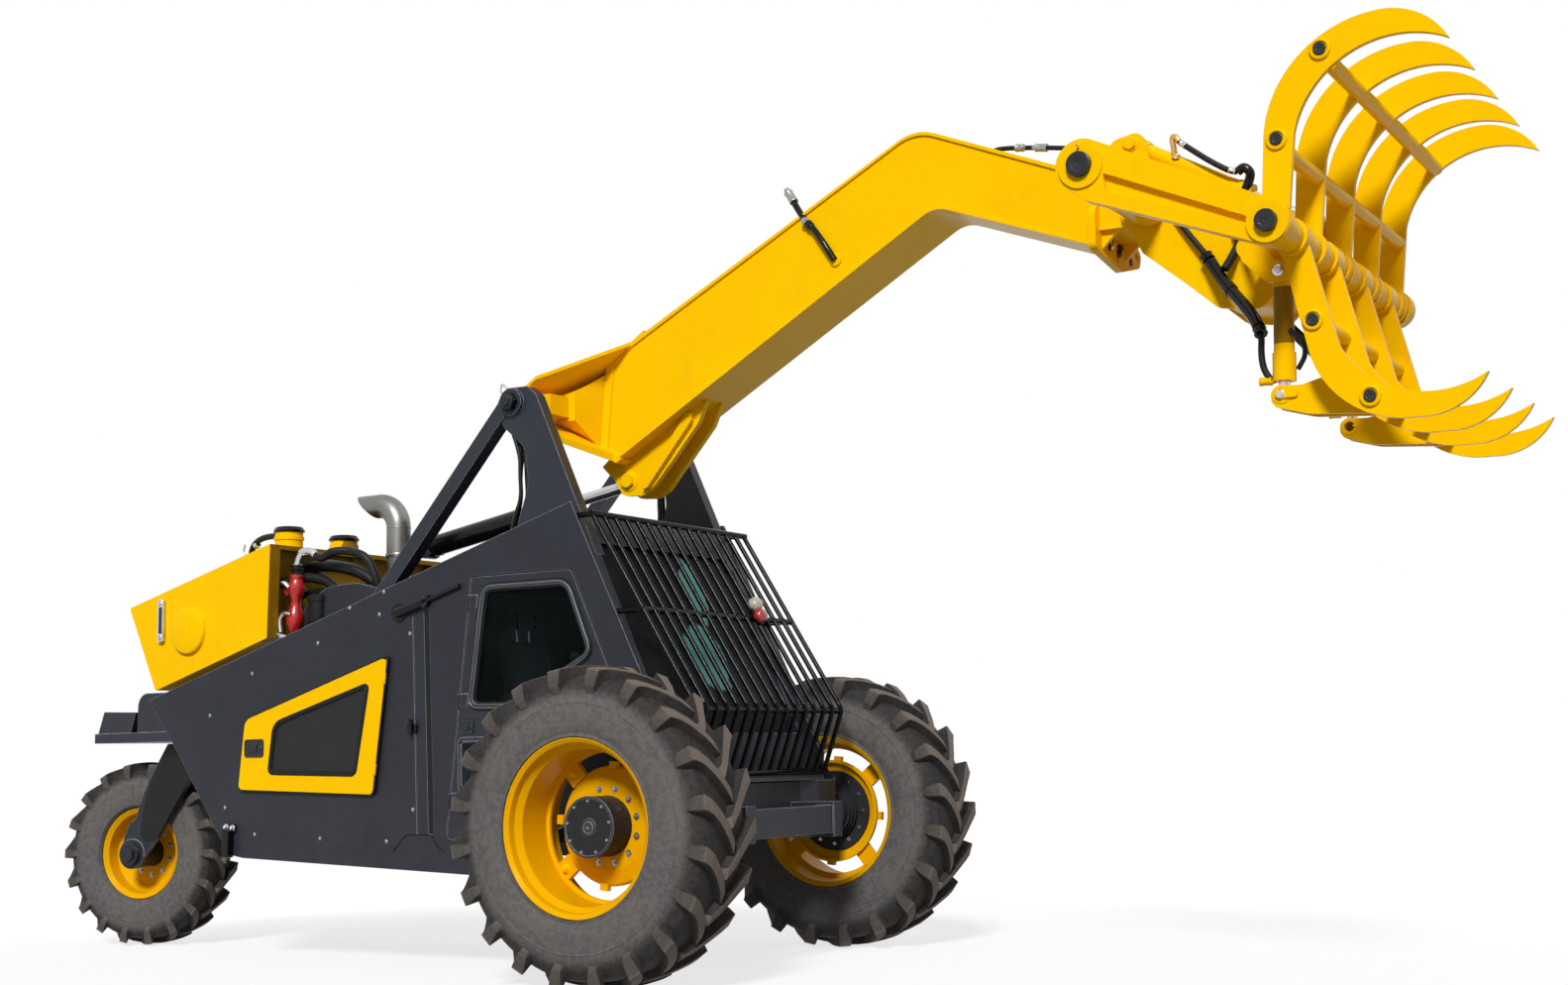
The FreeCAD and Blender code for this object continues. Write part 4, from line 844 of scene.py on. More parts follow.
def fit_tyre(name, joint, size, body):
    """Carcass and lugs in place of a plain tyre."""
    shape = join(carcass(joint, size), lugs(joint, size))
    finish = rubber(name + "_rubber", joint, size.radius)
    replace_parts(piece(name + "_tread", shape, finish, body, crease=24, marked=True), name)


class TyreSize(bpy.types.PropertyGroup):
    """Sizes of one tyre."""
    radius: bpy.props.FloatProperty(name="Radius", description="Radius over the lugs", default=0.825,
                                    unit="LENGTH")
    width: bpy.props.FloatProperty(name="Width", description="Width over the walls", default=0.467,
                                   unit="LENGTH")
    bead: bpy.props.FloatProperty(name="Bead radius", description="Radius of the bead seat", default=0.432,
                                  unit="LENGTH")
    flange: bpy.props.FloatProperty(name="Flange radius", description="Radius of the rim's lip",
                                    default=0.457, unit="LENGTH")
    rim_half: bpy.props.FloatProperty(name="Half rim width", description="Half the rim's width",
                                      default=0.226, unit="LENGTH")
    lugs: bpy.props.IntProperty(name="Lugs", description="Lugs in each of the two rows", default=20, min=8)
    lead: bpy.props.FloatProperty(name="Lead", description="How far the nose leads the shoulder",
                                  default=0.27, subtype="ANGLE")
    phase: bpy.props.FloatProperty(name="Phase", description="Turn of the pattern, in lugs", default=0.0)


REAR_TYRE = {"radius": 0.610, "width": 0.315, "bead": 0.281, "flange": 0.303, "rim_half": 0.126, "lugs": 18,
             "lead": 0.25}


class LOADER_OT_tyres(bpy.types.Operator):
    """Lugged tyres on the three wheels"""
    bl_idname = "loader.tyres"
    bl_label = "Tyres"

    def execute(self, context):
        settings = context.scene.loader
        for _, name in reversed(SIDES):
            wheel = name + "_front_wheel"
            fit_tyre(name + "_front_tyre", wheel + "_spin", settings.front_tyre, wheel)
        fit_tyre("rear_tyre", "rear_wheel_spin", settings.rear_tyre, "rear_wheel")
        return {"FINISHED"}


# --- wheel bolts ----------------------------------------------------------------------------------
def front_wheel_bolts(side, name):
    """Wheel bolts on the dish, cover screws on the hub, clamp bolts and the ring on the hub's middle."""
    body = name + "_front_wheel"
    centre, out = np.array(JOINTS[body + "_spin"]["pos_m"]), np.array((0.0, side, 0.0))
    dish, cover, flange = [centre + depth * out for depth in (-0.064, 0.097, -0.104)]
    nuts = bolt_ring(hex_bolt(0.0105, 0.013, 1.7, 0.006), dish, out, 0.194, 12, 0.04)
    piece(name + "_wheel_nuts", nuts, "steel", body)
    screws = bolt_ring(hex_bolt(0.0062, 0.008, 1.35), cover, out, 0.133, 9, 0.03)
    piece(name + "_hub_screws", screws, "steel", body)
    ring = lathe([(0, 0), (0.047, 0), (0.047, 0.002), (0.043, 0.004), (0.036, 0.004), (0.033, 0.0015),
                  (0.029, 0.0015), (0.027, 0.005), (0.008, 0.0055), (0.007, 0.003), (0, 0.003)], 40)
    lip = lathe([(0.1535, -0.004), (0.1575, -0.004), (0.1575, 0.0), (0.1515, 0.0035), (0.1445, 0.0035),
                 (0.1425, -0.001), (0.15, -0.004)], 72)
    piece(name + "_hub_cover", join(moved(ring, cover, out), moved(lip, cover, out)), "hub", body)
    quarters = np.radians(51 + 90 * np.arange(4))
    places = wheel_points(body + "_spin", 0.352, -side * 0.074, quarters)
    clamps = copies(hex_bolt(0.017, 0.018, 1.5, 0.008), places, [out] * 4)
    piece(name + "_clamp_bolts", clamps, "yellow", body)
    screws = bolt_ring(hex_bolt(0.009, 0.010, 1.35), flange, out, 0.200, 12, facing=-1)
    piece(name + "_flange_screws", screws, "steel", body)


def rear_wheel_bolts():
    """Nuts round both faces of the rear hub's disc, and big washers and nuts on the ends of its axle."""
    joint = JOINTS["rear_wheel_spin"]
    centre, axis = np.array(joint["pos_m"]), unit(joint["axis"])
    nut = hex_bolt(0.011, 0.013, 1.6, 0.006)
    rings = [bolt_ring(nut, centre + axis * depth, side * axis, 0.150, 10, 0.05)
             for side, depth in ((-1, 0.010), (1, 0.030))]
    piece("rear_wheel_nuts", join(*rings), "steel", "rear_wheel")
    fork_half, blade, boss, axle_end = 0.1575, 0.024, 0.026, 0.034
    reach = fork_half + blade + boss + axle_end
    nut = join(disc(0.072, 0.006, 0.003, 0.003, 40, -0.004), hex_bolt(0.046, 0.030, 1.2))
    ends = [moved(nut, centre + side * axis * reach, side * axis) for side, _ in SIDES]
    piece("rear_axle_nuts", join(*ends), "iron", "rear_fork")


class LOADER_OT_wheel_bolts(bpy.types.Operator):
    """Nuts, screws and covers on the wheels"""
    bl_idname = "loader.wheel_bolts"
    bl_label = "Wheel bolts"

    def execute(self, context):
        for side, name in reversed(SIDES):
            front_wheel_bolts(side, name)
        rear_wheel_bolts()
        return {"FINISHED"}


# --- hoses ----------------------------------------------------------------------------------------
def hose(name, points, diameter, body, across=None):
    """Free hose: one smooth spline whose control points are its route, in metres.

    across, when given, makes the hose a plain tube on no body; the second body and the stretch in it are
    not used.
    """
    data = bpy.data.curves.new(name, "CURVE")
    data.dimensions = "3D"
    spline = data.splines.new("NURBS")
    spline.points.add(len(points) - 1)
    for control, place in zip(spline.points, points):
        control.co = (*place, 1.0)
    spline.order_u = 3
    spline.use_endpoint_u = True
    data.resolution_u = 10
    thing = bpy.data.objects.new(name, data)
    bpy.context.scene.collection.objects.link(thing)
    line = bpy.data.meshes.new_from_object(thing)
    run = np.array([v.co for v in line.vertices])
    bpy.data.meshes.remove(line)
    if across:
        bpy.data.objects.remove(thing)
        thing = piece(name, along(run, circle(diameter / 2, 12)), "hose", None)
    else:
        data.bevel_depth = diameter / 2
        data.bevel_resolution = 4
        data.use_fill_caps = True
        data.materials.append(shared()["hose"])
        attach(thing, body)
    if across:
        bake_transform(thing)
    return run


def ferrule(radius, length):
    """Crimped hose end: a collar with rolled rims on a plain stub, its foot at the origin."""
    r, n = radius, length
    return lathe([(0, 0), (r * 0.8, 0), (r * 0.8, n * 0.2), (r * 1.25, n * 0.22), (r * 1.3, n * 0.27),
                  (r * 1.18, n * 0.34), (r * 1.18, n * 0.84), (r * 1.3, n * 0.9), (r * 1.2, n), (0, n)], 20)


def hose_ends(points, radius, length=0.06):
    """Ferrules at both ends of a hose's route, pointing along it."""
    points = np.asarray(points, float)
    return join(moved(ferrule(radius, length), points[0], points[1] - points[0]),
                moved(ferrule(radius, length), points[-1], points[-2] - points[-1]))


# --- body fittings --------------------------------------------------------------------------------
def body_screws():
    """Round-headed screws over the side sheets, the same on both sides."""
    spots = [(-1943, 2048), (-1705, 1923), (-2433, 1902), (-2979, 1741), (-3338, 1494), (-3197, 926),
             (-2941, 763), (-2403, 740), (-1881, 724), (-1678, 905), (-1908, 2180), (-2178, 2100)]
    screws = [on_side(shifted(dome_screw(0.0088), *flat(spot)), side)
              for side, _ in SIDES for spot in spots]
    piece("body_screws", join(*screws), "steel", "chassis")


def paddle_latch(w, h):
    """Flush latch: a rounded dish with a raised rim, a sprung paddle and a round lock, drawn flat."""
    edge = rounded(rect(-w / 2, -h / 2, w / 2, h / 2), h * 0.18)
    paddle = rounded([(-w * 0.34, -h * 0.28), (w * 0.12, -h * 0.28), (w * 0.16, h * 0.28),
                      (-w * 0.34, h * 0.28)], h * 0.12)
    lock = moved(lathe([(0, 0), (h * 0.16, 0), (h * 0.16, 0.008), (h * 0.13, 0.011), (h * 0.03, 0.011),
                        (h * 0.03, 0.006), (0, 0.006)], 24), (w * 0.32, 0, 0))
    return join(slab(edge, 0.0, 0.004, 0.002), band(edge, 0.006, 0.0, 0.003, 0.009, 0.002),
                slab(paddle, 0.003, 0.012, 0.004), lock)


def door_trim(side, name):
    """Window frame and gasket, the lower panel's lines, the small lower pane and the latch."""
    def add(part, shape, finish):
        piece(name + part, on_side(shape, side), finish, name + "_door")
    window = rounded(flat([(-1239, 1493), (-940, 1485), (-405, 1756), (-560, 2148), (-1141, 2150)]),
                     (0.05, 0.10, 0.06, 0.065, 0.055), 9)
    add("_window_frame", band(window, 0.006, -0.018, 0.0, 0.012, 0.005), "grey")
    add("_window_line", band(window, -0.017, -0.0205, 0.002, 0.0135, 0.0015), "steel")
    add("_window_lining", band(window, -0.020, -0.034, 0.0, 0.007, 0.003), "seal")
    add("_window_gasket", band(window, 0.018, 0.002, -0.016, -0.002, 0.003), "seal")
    low = rounded(flat([(-1338, 1000), (-1230, 1000), (-1030, 1306), (-1338, 1306)]), 0.035, 6)
    pane = inset(low, 0.028)
    panel = join(band(low, 0.004, -0.006, 0.0, 0.004, 0.002), band(pane, 0.002, -0.014, 0.0, 0.009, 0.004))
    add("_lower_frame", panel, "grey")
    add("_lower_pane", slab(pane, 0.0, 0.003), "glass")
    crease = plate(rect(-1340, 1416, -1130, 1424), 0.003, 0.0, 0.003, 0.001)
    add("_door_latch", join(shifted(paddle_latch(0.10, 0.07), *flat((-1276, 1366))), crease), "iron")


def lid_trim(side, name):
    """Mesh in the lid's recess, the gasket round it, the lid's edge line and a latch."""
    def add(part, shape, finish):
        piece(name + part, on_side(shape, side, LID_FACE), finish, name + "_vent_lid")
    field = rounded(flat([(-2800, 1134), (-2110, 1114), (-2010, 1634), (-2760, 1424)]),
                    (0.035, 0.035, 0.035, 0.06), 7)
    rim = rounded(flat([(-3060, 1034), (-1970, 994), (-1860, 1794), (-3010, 1454)]),
                  (0.03, 0.03, 0.03, 0.07), 7)
    add("_lid_mesh", slab(inset(field, 0.002), -0.012, -0.006, 0.001), "mesh")
    add("_lid_seal", band(field, 0.012, -0.016, -0.006, 0.006, 0.005), "seal")
    add("_lid_edging", band(rim, 0.002, -0.010, -0.023, -0.002, 0.003), "seal")
    add("_lid_latch", shifted(paddle_latch(0.160, 0.108), *flat((-2926, 1283))), "iron")


def flank_stay(side, name):
    """Gas stay behind the cab: a sleeve out of a black disc painted as the shade of a hole, its bracket and
    the rod to the door post.
    """
    hole, knee, end = route([(-1792, 815, 2047), (-1575, 815, 2105), (-1318, 815, 2180)], side)
    # The black disc on the sheet stands for the hole's painted shade.
    ring = moved(disc(0.056, 0.004, 0.006, 0.001), hole - (0, side * 0.012, 0), (0, side, 0))
    sleeve = tube([hole, (hole + knee) / 2, knee], 0.031, 18, 12)
    rod = tube([knee, (knee + end) / 2, end], 0.013, 12, 12)
    bracket = plate([(-1600, 2060), (-1556, 2070), (-1540, 2140), (-1590, 2134)], 0.012, 0.0, 0.030, 0.004)
    piece(name + "_stay", join(ring, sleeve, rod, on_side(bracket, side)), "black", "chassis")
    places = route([(-1576, 830, 2120), (-1572, 830, 2082)], side)
    nuts = copies(hex_bolt(0.010, 0.010, 1.5), places, [(0, side, 0)] * 2)
    piece(name + "_stay_nuts", nuts, "iron", "chassis")


def post_strip(side, name):
    """Black strip as painted shade of the deep slot behind the door post, its latch and the folded step at
    its foot.
    """
    # The black strip raised on the sheet is painted shade of the deep slot.
    slot = flat([(-1597, 2048), (-1561, 2058), (-1523, 768), (-1559, 768)])
    seam = flat([(-1683, 2018), (-1678, 2018), (-1642, 768), (-1647, 768)])
    strips = join(slab(slot, -0.004, 0.0016, 0.0008), slab(seam, -0.0058, -0.002, 0.0005))
    step = [(-1830, 664), (-1800, 696), (-1735, 756), (-1700, 760), (-1560, 760), (-1535, 752),
            (-1500, 700), (-1450, 668)]
    fold = tube(route([(x, 801, z) for x, z in step], side), 0.0035, 8, 50)
    piece(name + "_post_strip", join(on_side(strips, side), fold), "seal", "chassis")
    hasp = join(plate(rect(-1712, 1352, -1640, 1392), 0.006, 0.0, 0.020, 0.003),
                plate(rect(-1690, 1330, -1664, 1424), 0.006, 0.016, 0.036, 0.004))
    piece(name + "_post_latch", on_side(hasp, side), "black", "chassis")


def tail_bracket(side, name):
    """Folded bracket low at the tail with a dark mouth and two bolts over it."""
    fold = plate([(-3172, 628), (-3118, 622), (-3112, 790), (-3172, 800)], 0.008, 0.0, 0.052, 0.004)
    lip = plate([(-3196, 780), (-3096, 772), (-3092, 822), (-3196, 832)], 0.012, 0.0, 0.012, 0.003)
    piece(name + "_tail_bracket", on_side(join(fold, lip), side), "black", "chassis")
    places = route([(-3172, 812, 806), (-3118, 812, 800)], side)
    bolts = copies(hex_bolt(0.013, 0.013, 1.6, 0.006), places, [(0, side, 0)] * 2)
    piece(name + "_tail_bolts", bolts, "bright", "chassis")


# --- seat -----------------------------------------------------------------------------------------
PAD_VOXEL, PAD_PRESSURE, PAD_FRAMES = 0.009, 4.0, 20


def evaluated(thing):
    """Mesh of an object with its modifiers applied."""
    ready = thing.evaluated_get(bpy.context.evaluated_depsgraph_get())
    return bpy.data.meshes.new_from_object(ready)


def places_of(mesh):
    """A mesh's points as rows."""
    places = np.empty(len(mesh.vertices) * 3)
    mesh.vertices.foreach_get("co", places)
    return places.reshape(-1, 3)


def swell(thing, mesh, travel):
    """Cloth under pressure from inside, each point held to a travel from where it was."""
    scene = bpy.context.scene
    start = places_of(mesh)
    cloth_sim = thing.modifiers.new("swell", "CLOTH")
    cloth_sim.settings.use_pressure = True
    cloth_sim.settings.uniform_pressure_force = PAD_PRESSURE
    cloth_sim.settings.effector_weights.gravity = 0.0
    for number in range(1, PAD_FRAMES + 1):
        scene.frame_set(number)
    blown = evaluated(thing)
    step = places_of(blown) - start
    thing.modifiers.clear()
    far = np.linalg.norm(step, axis=1, keepdims=True)
    held = start + step * np.minimum(1, travel / np.maximum(far, 1e-6))
    mesh.vertices.foreach_set("co", held.ravel())
    bpy.data.meshes.remove(blown)
    scene.frame_set(1)


def stuffed(name, shape, travel):
    """Pad swollen from a slightly smaller closed form."""
    thing = piece(name, shape, "cloth", "chassis")
    voxels = thing.modifiers.new("voxels", "REMESH")
    voxels.mode = "VOXEL"
    voxels.voxel_size = PAD_VOXEL
    fine = evaluated(thing)
    thing.modifiers.clear()
    thing.data = fine
    swell(thing, fine, travel)
    fine.materials.clear()
    fine.materials.append(shared()["cloth"])
    fine.shade_smooth()
    finer = thing.modifiers.new("finer", "SUBSURF")
    finer.levels = 1
    finer.render_levels = 1
    return thing


def seat():
    """Cushion, backrest and head pad in place of the plain seat, with piping along their edges."""
    cushion = [(-1425, 1418), (-920, 1418), (-915, 1502), (-1425, 1502)]
    back = [(-1484, 1520), (-1402, 1512), (-1466, 1905), (-1528, 1905)]
    head = [(-1532, 1962), (-1478, 1962), (-1490, 2075), (-1538, 2075)]
    forms = (("seat_cushion", cushion, 0.235, 0.030, 0.016, 0.6),
             ("seat_back", back, 0.225, 0.024, 0.014, 0.6), ("seat_head", head, 0.115, 0.020, 0.010, 0.7))
    pads = [stuffed(pad, on_side(plate(outline, edge, -half, half, edge * 0.8), -1, 0.0), travel)
            for pad, outline, half, edge, travel, fill in forms]
    for pad in pads:
        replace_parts(pad, "cab_seat")
    edges = ([(-1410, 168, 1512), (-1438, 176, 1703.5), (-1474, 168, 1895)],
             [(-1474, 84, 1970), (-1475, 92, 2020), (-1484, 84, 2070)])
    wings = [tube(route(edge, side), 0.006, 8, 24) for side, _ in SIDES for edge in edges]
    across = [tube(route([(x, -150, z), (x + 6, 0, z), (x, 150, z)]), 0.005, 8, 16)
              for x, z in ((-1424, 1600), (-1441, 1700), (-1458, 1800))]
    piece("seat_piping", join(*wings, *across), "hose", "chassis")
    posts = [tube(route([(-1502, 60, 1890), (-1508, 60, 1975)], side), 0.008, 10, 6) for side, _ in SIDES]
    piece("head_posts", join(*posts), "bright", "chassis")


class LOADER_OT_seat(bpy.types.Operator):
    """Padded seat"""
    bl_idname = "loader.seat"
    bl_label = "Padded seat"

    def execute(self, context):
        seat()
        return {"FINISHED"}


class LOADER_OT_body_fittings(bpy.types.Operator):
    """Screws, window frames, meshes, latches and stays of both flanks"""
    bl_idname = "loader.body_fittings"
    bl_label = "Body fittings"

    def execute(self, context):
        body_screws()
        for side, name in SIDES:
            for fit in (door_trim, lid_trim, flank_stay, post_strip, tail_bracket):
                fit(side, name)
        return {"FINISHED"}


# --- tank and engine bay --------------------------------------------------------------------------
def tank_fittings():
    """Filler caps, round covers and the sight gauge."""
    cap = lathe([(0, -0.002), (0.096, -0.002), (0.099, 0.004), (0.099, 0.013), (0.092, 0.019),
                 (0.090, 0.027), (0.082, 0.033), (0.058, 0.036), (0.054, 0.031), (0, 0.031)], 48)
    caps = join(moved(cap, mm(-3075, -400, 2655)), moved(cap, mm(-2980, 0, 2625)))
    piece("filler_caps", caps, "black", "chassis")
    cover = lathe([(0, -0.001), (0.146, -0.001), (0.146, 0.020), (0.141, 0.026), (0.130, 0.0285),
                   (0, 0.0285)], 72)
    piece("tank_covers", join(*paired(cover, (-3532, 800, 2030))), "yellow", "chassis")
    base, ends = rounded(flat(rect(-3795, 1972, -3742, 2240)), 0.016), (1996, 2216)
    blocks = [plate(rect(-3792, z - 24, -3745, z + 24), 0.01, 0.0, 0.034, 0.005) for z in ends]
    knobs = copies(hex_bolt(0.012, 0.010, 1.3), route([(-3768, -834, z) for z in ends]), [(0, -1, 0)] * 2)
    housing = on_side(join(band(base, 0.011, 0.0, 0.0, 0.030, 0.004), *blocks), -1)
    piece("gauge_frame", join(housing, knobs), "bright", "chassis")
    piece("gauge_pane", on_side(slab(inset(base, 0.010), 0.002, 0.020, 0.002), -1), "blue", "chassis")


def valve():
    """Red shut-off valve below the filler pipe: waisted body with two side ports and plated elbows."""
    top, low = route([(-2756, -650, 2350), (-2776, -650, 1990)])
    run = np.linalg.norm(top - low)
    body = lathe([(0, 0), (0.030, 0), (0.036, 0.01), (0.050, 0.05), (0.055, 0.085), (0.048, 0.125),
                  (0.034, 0.15), (0.031, 0.20), (0.040, 0.225), (0.052, 0.255), (0.050, 0.30),
                  (0.040, 0.325), (0.044, 0.33), (0.044, 0.352), (0.036, run), (0, run)], 32)
    bend = [(0, 0, 0), (-0.05, 0, 0.01), (-0.075, 0, -0.005)]
    ports = [tube(top + shift + bend, 0.022, 16, 12) for shift in ((-0.01, 0, -0.11), (-0.015, 0, -0.26))]
    piece("valve_body", join(moved(body, low, top - low), *ports), "red", "chassis")
    pipes = (([(-2800, -665, 2262), (-2850, -680, 2300), (-2925, -690, 2285), (-2960, -690, 2205)], 0.018),
             ([(-2752, -700, 2100), (-2815, -705, 2106), (-2845, -705, 2060), (-2838, -705, 1990)], 0.015),
             ([(-2945, -690, 2052), (-2905, -700, 2000), (-2850, -700, 1972), (-2800, -690, 1958)], 0.019))
    arms = [tube(route(points), radius, 14, 30) for points, radius in pipes]
    collars = [moved(ferrule(0.021, 0.040), mm(-2960, -690, 2205), (0, 0, 1)),
               moved(ferrule(0.022, 0.040), mm(-2945, -690, 2052), (0.6, 0, -0.8))]
    widths = np.interp(np.arange(40), [0, 8, 9, 39], [0.034, 0.034, 0.026, 0.024])
    elbow = tube(route([(-2752, -650, 2345), (-2752, -650, 2420), (-2715, -650, 2480), (-2640, -650, 2482),
                        (-2596, -650, 2448)]), widths, 18, 40)
    piece("valve_arms", join(*arms, *collars, elbow), "bright", "chassis")
    boot = lathe([(0, 0), (0.040, 0), (0.040, 0.012), (0.035, 0.016), (0.040, 0.022), (0.035, 0.028),
                  (0.040, 0.034), (0.035, 0.040), (0.038, 0.060), (0, 0.060)], 28)
    piece("valve_boot", moved(boot, mm(-2754, -650, 2345)), "hose", "chassis")


def bay_hoses():
    """Thick hoses from the valve and the tank into the engine bay, and the clamps behind the filler."""
    valve_run = route([(-2600, -650, 2452), (-2545, -650, 2440), (-2470, -640, 2470), (-2370, -600, 2470),
                       (-2250, -580, 2420), (-2190, -560, 2300), (-2170, -540, 2180)])
    piece("valve_hose", tube(valve_run, 0.026, 16, 60), "hose", "chassis")
    cooler_run = route([(-2895, -520, 2400), (-2650, -520, 2410), (-2500, -520, 2385), (-2360, -500, 2350),
                        (-2250, -470, 2262)])
    hose("cooler_hose", cooler_run, 0.075, "chassis")
    filler_run = route([(-3455, -340, 2382), (-3470, -350, 2520), (-3420, -370, 2610), (-3290, -390, 2650),
                        (-3155, -400, 2640)])
    hose("filler_hose", filler_run, 0.040, "chassis")
    clamp = hoop(0.018, 0.0245, 0.014, 0.001, 28)
    lever = tube(route([(-3470, -375, 2530), (-3500, -378, 2560), (-3490, -378, 2610)]), 0.006, 10, 16)
    rings = [moved(clamp, mm(-3459, -344, 2470)), moved(clamp, mm(-3390, -370, 2600), (0.8, 0, 0.4))]
    piece("filler_clamps", join(*rings, lever), "bright", "chassis")


def bay_pipes():
    """Dark pipes and a filter bowl between the tank and the engine cover."""
    feed = [(-2900, -640, 2300), (-2760, -600, 2330), (-2600, -560, 2300), (-2460, -560, 2200)]
    drain = [(-2890, -560, 2180), (-2740, -540, 2240), (-2560, -520, 2230), (-2420, -520, 2150)]
    vent = [(-2880, -420, 2420), (-2700, -430, 2300), (-2600, -430, 2160), (-2590, -430, 2060)]
    pipes = [tube(route(points), radius, sides, 40)
             for points, radius, sides in ((feed, 0.030, 16), (drain, 0.020, 14), (vent, 0.024, 14))]
    bowl = lathe([(0, 0), (0.045, 0), (0.062, 0.02), (0.066, 0.05), (0.066, 0.16), (0.072, 0.165),
                  (0.072, 0.195), (0.060, 0.205), (0.030, 0.212), (0, 0.212)], 40)
    piece("bay_pipes", join(*pipes, moved(bowl, mm(-2620, -600, 2010))), "seal", "chassis")


def exhaust_bands():
    """Welded seam under the bend and a bolted clamp round the upright pipe."""
    seam = lathe([(0.074, -0.004), (0.0765, -0.003), (0.0775, 0.0), (0.0765, 0.003), (0.074, 0.004),
                  (0.074, -0.004)], 56)
    clamp = hoop(0.074, 0.080, 0.016, 0.002, 56)
    bolt = moved(hex_bolt(0.008, 0.01, 1.3, 0.02), mm(-2240, -388, 2452), (1, 0, 0))
    bands = join(moved(seam, mm(-2240, -300, 2628)), moved(clamp, mm(-2240, -300, 2452)), bolt)
    piece("exhaust_bands", bands, "pipe", "chassis")


class LOADER_OT_engine_bay(bpy.types.Operator):
    """Caps, gauge, valve, hoses and bands round the tank and the engine"""
    bl_idname = "loader.engine_bay"
    bl_label = "Tank and engine bay"

    def execute(self, context):
        tank_fittings()
        valve()
        bay_hoses()
        bay_pipes()
        exhaust_bands()
        return {"FINISHED"}


# --- boom and grab --------------------------------------------------------------------------------
def cap_bolt(radius, height):
    """Black pin end: a chamfered drum with a shallow dish and a small centre hole."""
    r, h = radius, height
    return lathe([(0, -0.002), (r, -0.002), (r, h * 0.78), (r * 0.94, h), (r * 0.62, h),
                  (r * 0.57, h * 0.86), (r * 0.16, h * 0.86), (r * 0.14, h * 0.6), (0, h * 0.6)], 40)


def raised_ring(radius, inner, height):
    """Raised ring with rounded edges."""
    foot, shoulder = -0.001, height * 0.6
    return lathe([(inner, foot), (radius, foot), (radius, shoulder), (radius - height * 0.5, height),
                  (inner + height * 0.4, height), (inner, shoulder), (inner, foot)], 48)


def pin_caps():
    """Black caps on the two long pins and in the raised rings of every tie bolt."""
    nose, jaw = pivot("grab_tilt", 1160), pivot("lower_jaw_close", 1160)
    upper_ties = [(3859, 1031, 4265), (3639, 1031, 3885)]
    lower_ties = [(3687, 779, 3089), (3927, 779, 2709)]
    cap, ring = cap_bolt(0.029, 0.013), raised_ring(0.0488, 0.034, 0.008)
    shapes = paired(cap_bolt(0.061, 0.010), nose) + paired(cap_bolt(0.051, 0.016), jaw)
    piece("grab_pin_caps", join(*shapes, *paired(cap, *upper_ties)), "iron", "grab_arm")
    piece("jaw_pin_caps", join(*paired(cap, *lower_ties)), "iron", "lower_jaw")
    piece("upper_tie_rings", join(*paired(ring, *upper_ties)), "yellow", "grab_arm")
    piece("lower_tie_rings", join(*paired(ring, *lower_ties)), "yellow", "lower_jaw")


def eye_bolts():
    """Hexagon heads and keepers at the cylinders' eyes."""
    heads = paired(hex_bolt(0.040, 0.028, 1.6), (-625, 98, 2802))
    heads += paired(hex_bolt(0.030, 0.024, 1.45), pivot("tilt_barrel_pivot", 86))
    piece("boom_eye_bolts", join(*heads), "yellow", "boom")
    base = paired(hex_bolt(0.017, 0.014, 1.6), pivot("right_grab_barrel_pivot", 664))
    piece("grab_base_bolts", join(*base), "bright", "grab_arm")
    keeper = slab(rounded(rect(-0.030, -0.022, 0.082, 0.022), 0.021), 0, 0.010, 0.003)
    keeper = shifted(keeper, *flat((3480, 2785)))
    keepers = [on_side(keeper, side, 0.642) for side, _ in SIDES]
    piece("grab_eye_keepers", join(*keepers), "yellow", "lower_jaw")
    studs = paired(hex_bolt(0.016, 0.012, 1.25), (3480, 652, 2785))
    piece("grab_eye_studs", join(*studs), "bright", "lower_jaw")


def tilt_line():
    """Hose over the arm from the tilt cylinder, with its unions and elbow."""
    crest = route([(2850, -70, 4262), (2905, -74, 4215), (3010, -78, 4130), (3100, -76, 4068),
                   (3150, -72, 4050)])
    rise = route([(2812, -34, 4192), (2812, -46, 4240), (2810, -56, 4292), (2832, -66, 4290),
                  (2850, -70, 4262)])
    end = route([(3150, -72, 4050), (3185, -70, 4066), (3212, -62, 4030), (3180, -40, 3965),
                 (3160, -20, 3950)])
    nut = moved(hex_bolt(0.020, 0.022, 1.2), mm(2816, -36, 4186), (0.25, -0.1, 1.0))
    piece("tilt_line", tube(crest, 0.0155, 14, 50), "hose", "tilt_barrel")
    piece("tilt_unions", join(tube(rise, 0.016, 14, 24), nut), "brass", "tilt_barrel")
    piece("tilt_elbow", tube(end, 0.024, 16, 24), "black", "tilt_barrel")
    piece("tilt_crimps", hose_ends(crest, 0.014, 0.045), "bright", "tilt_barrel")


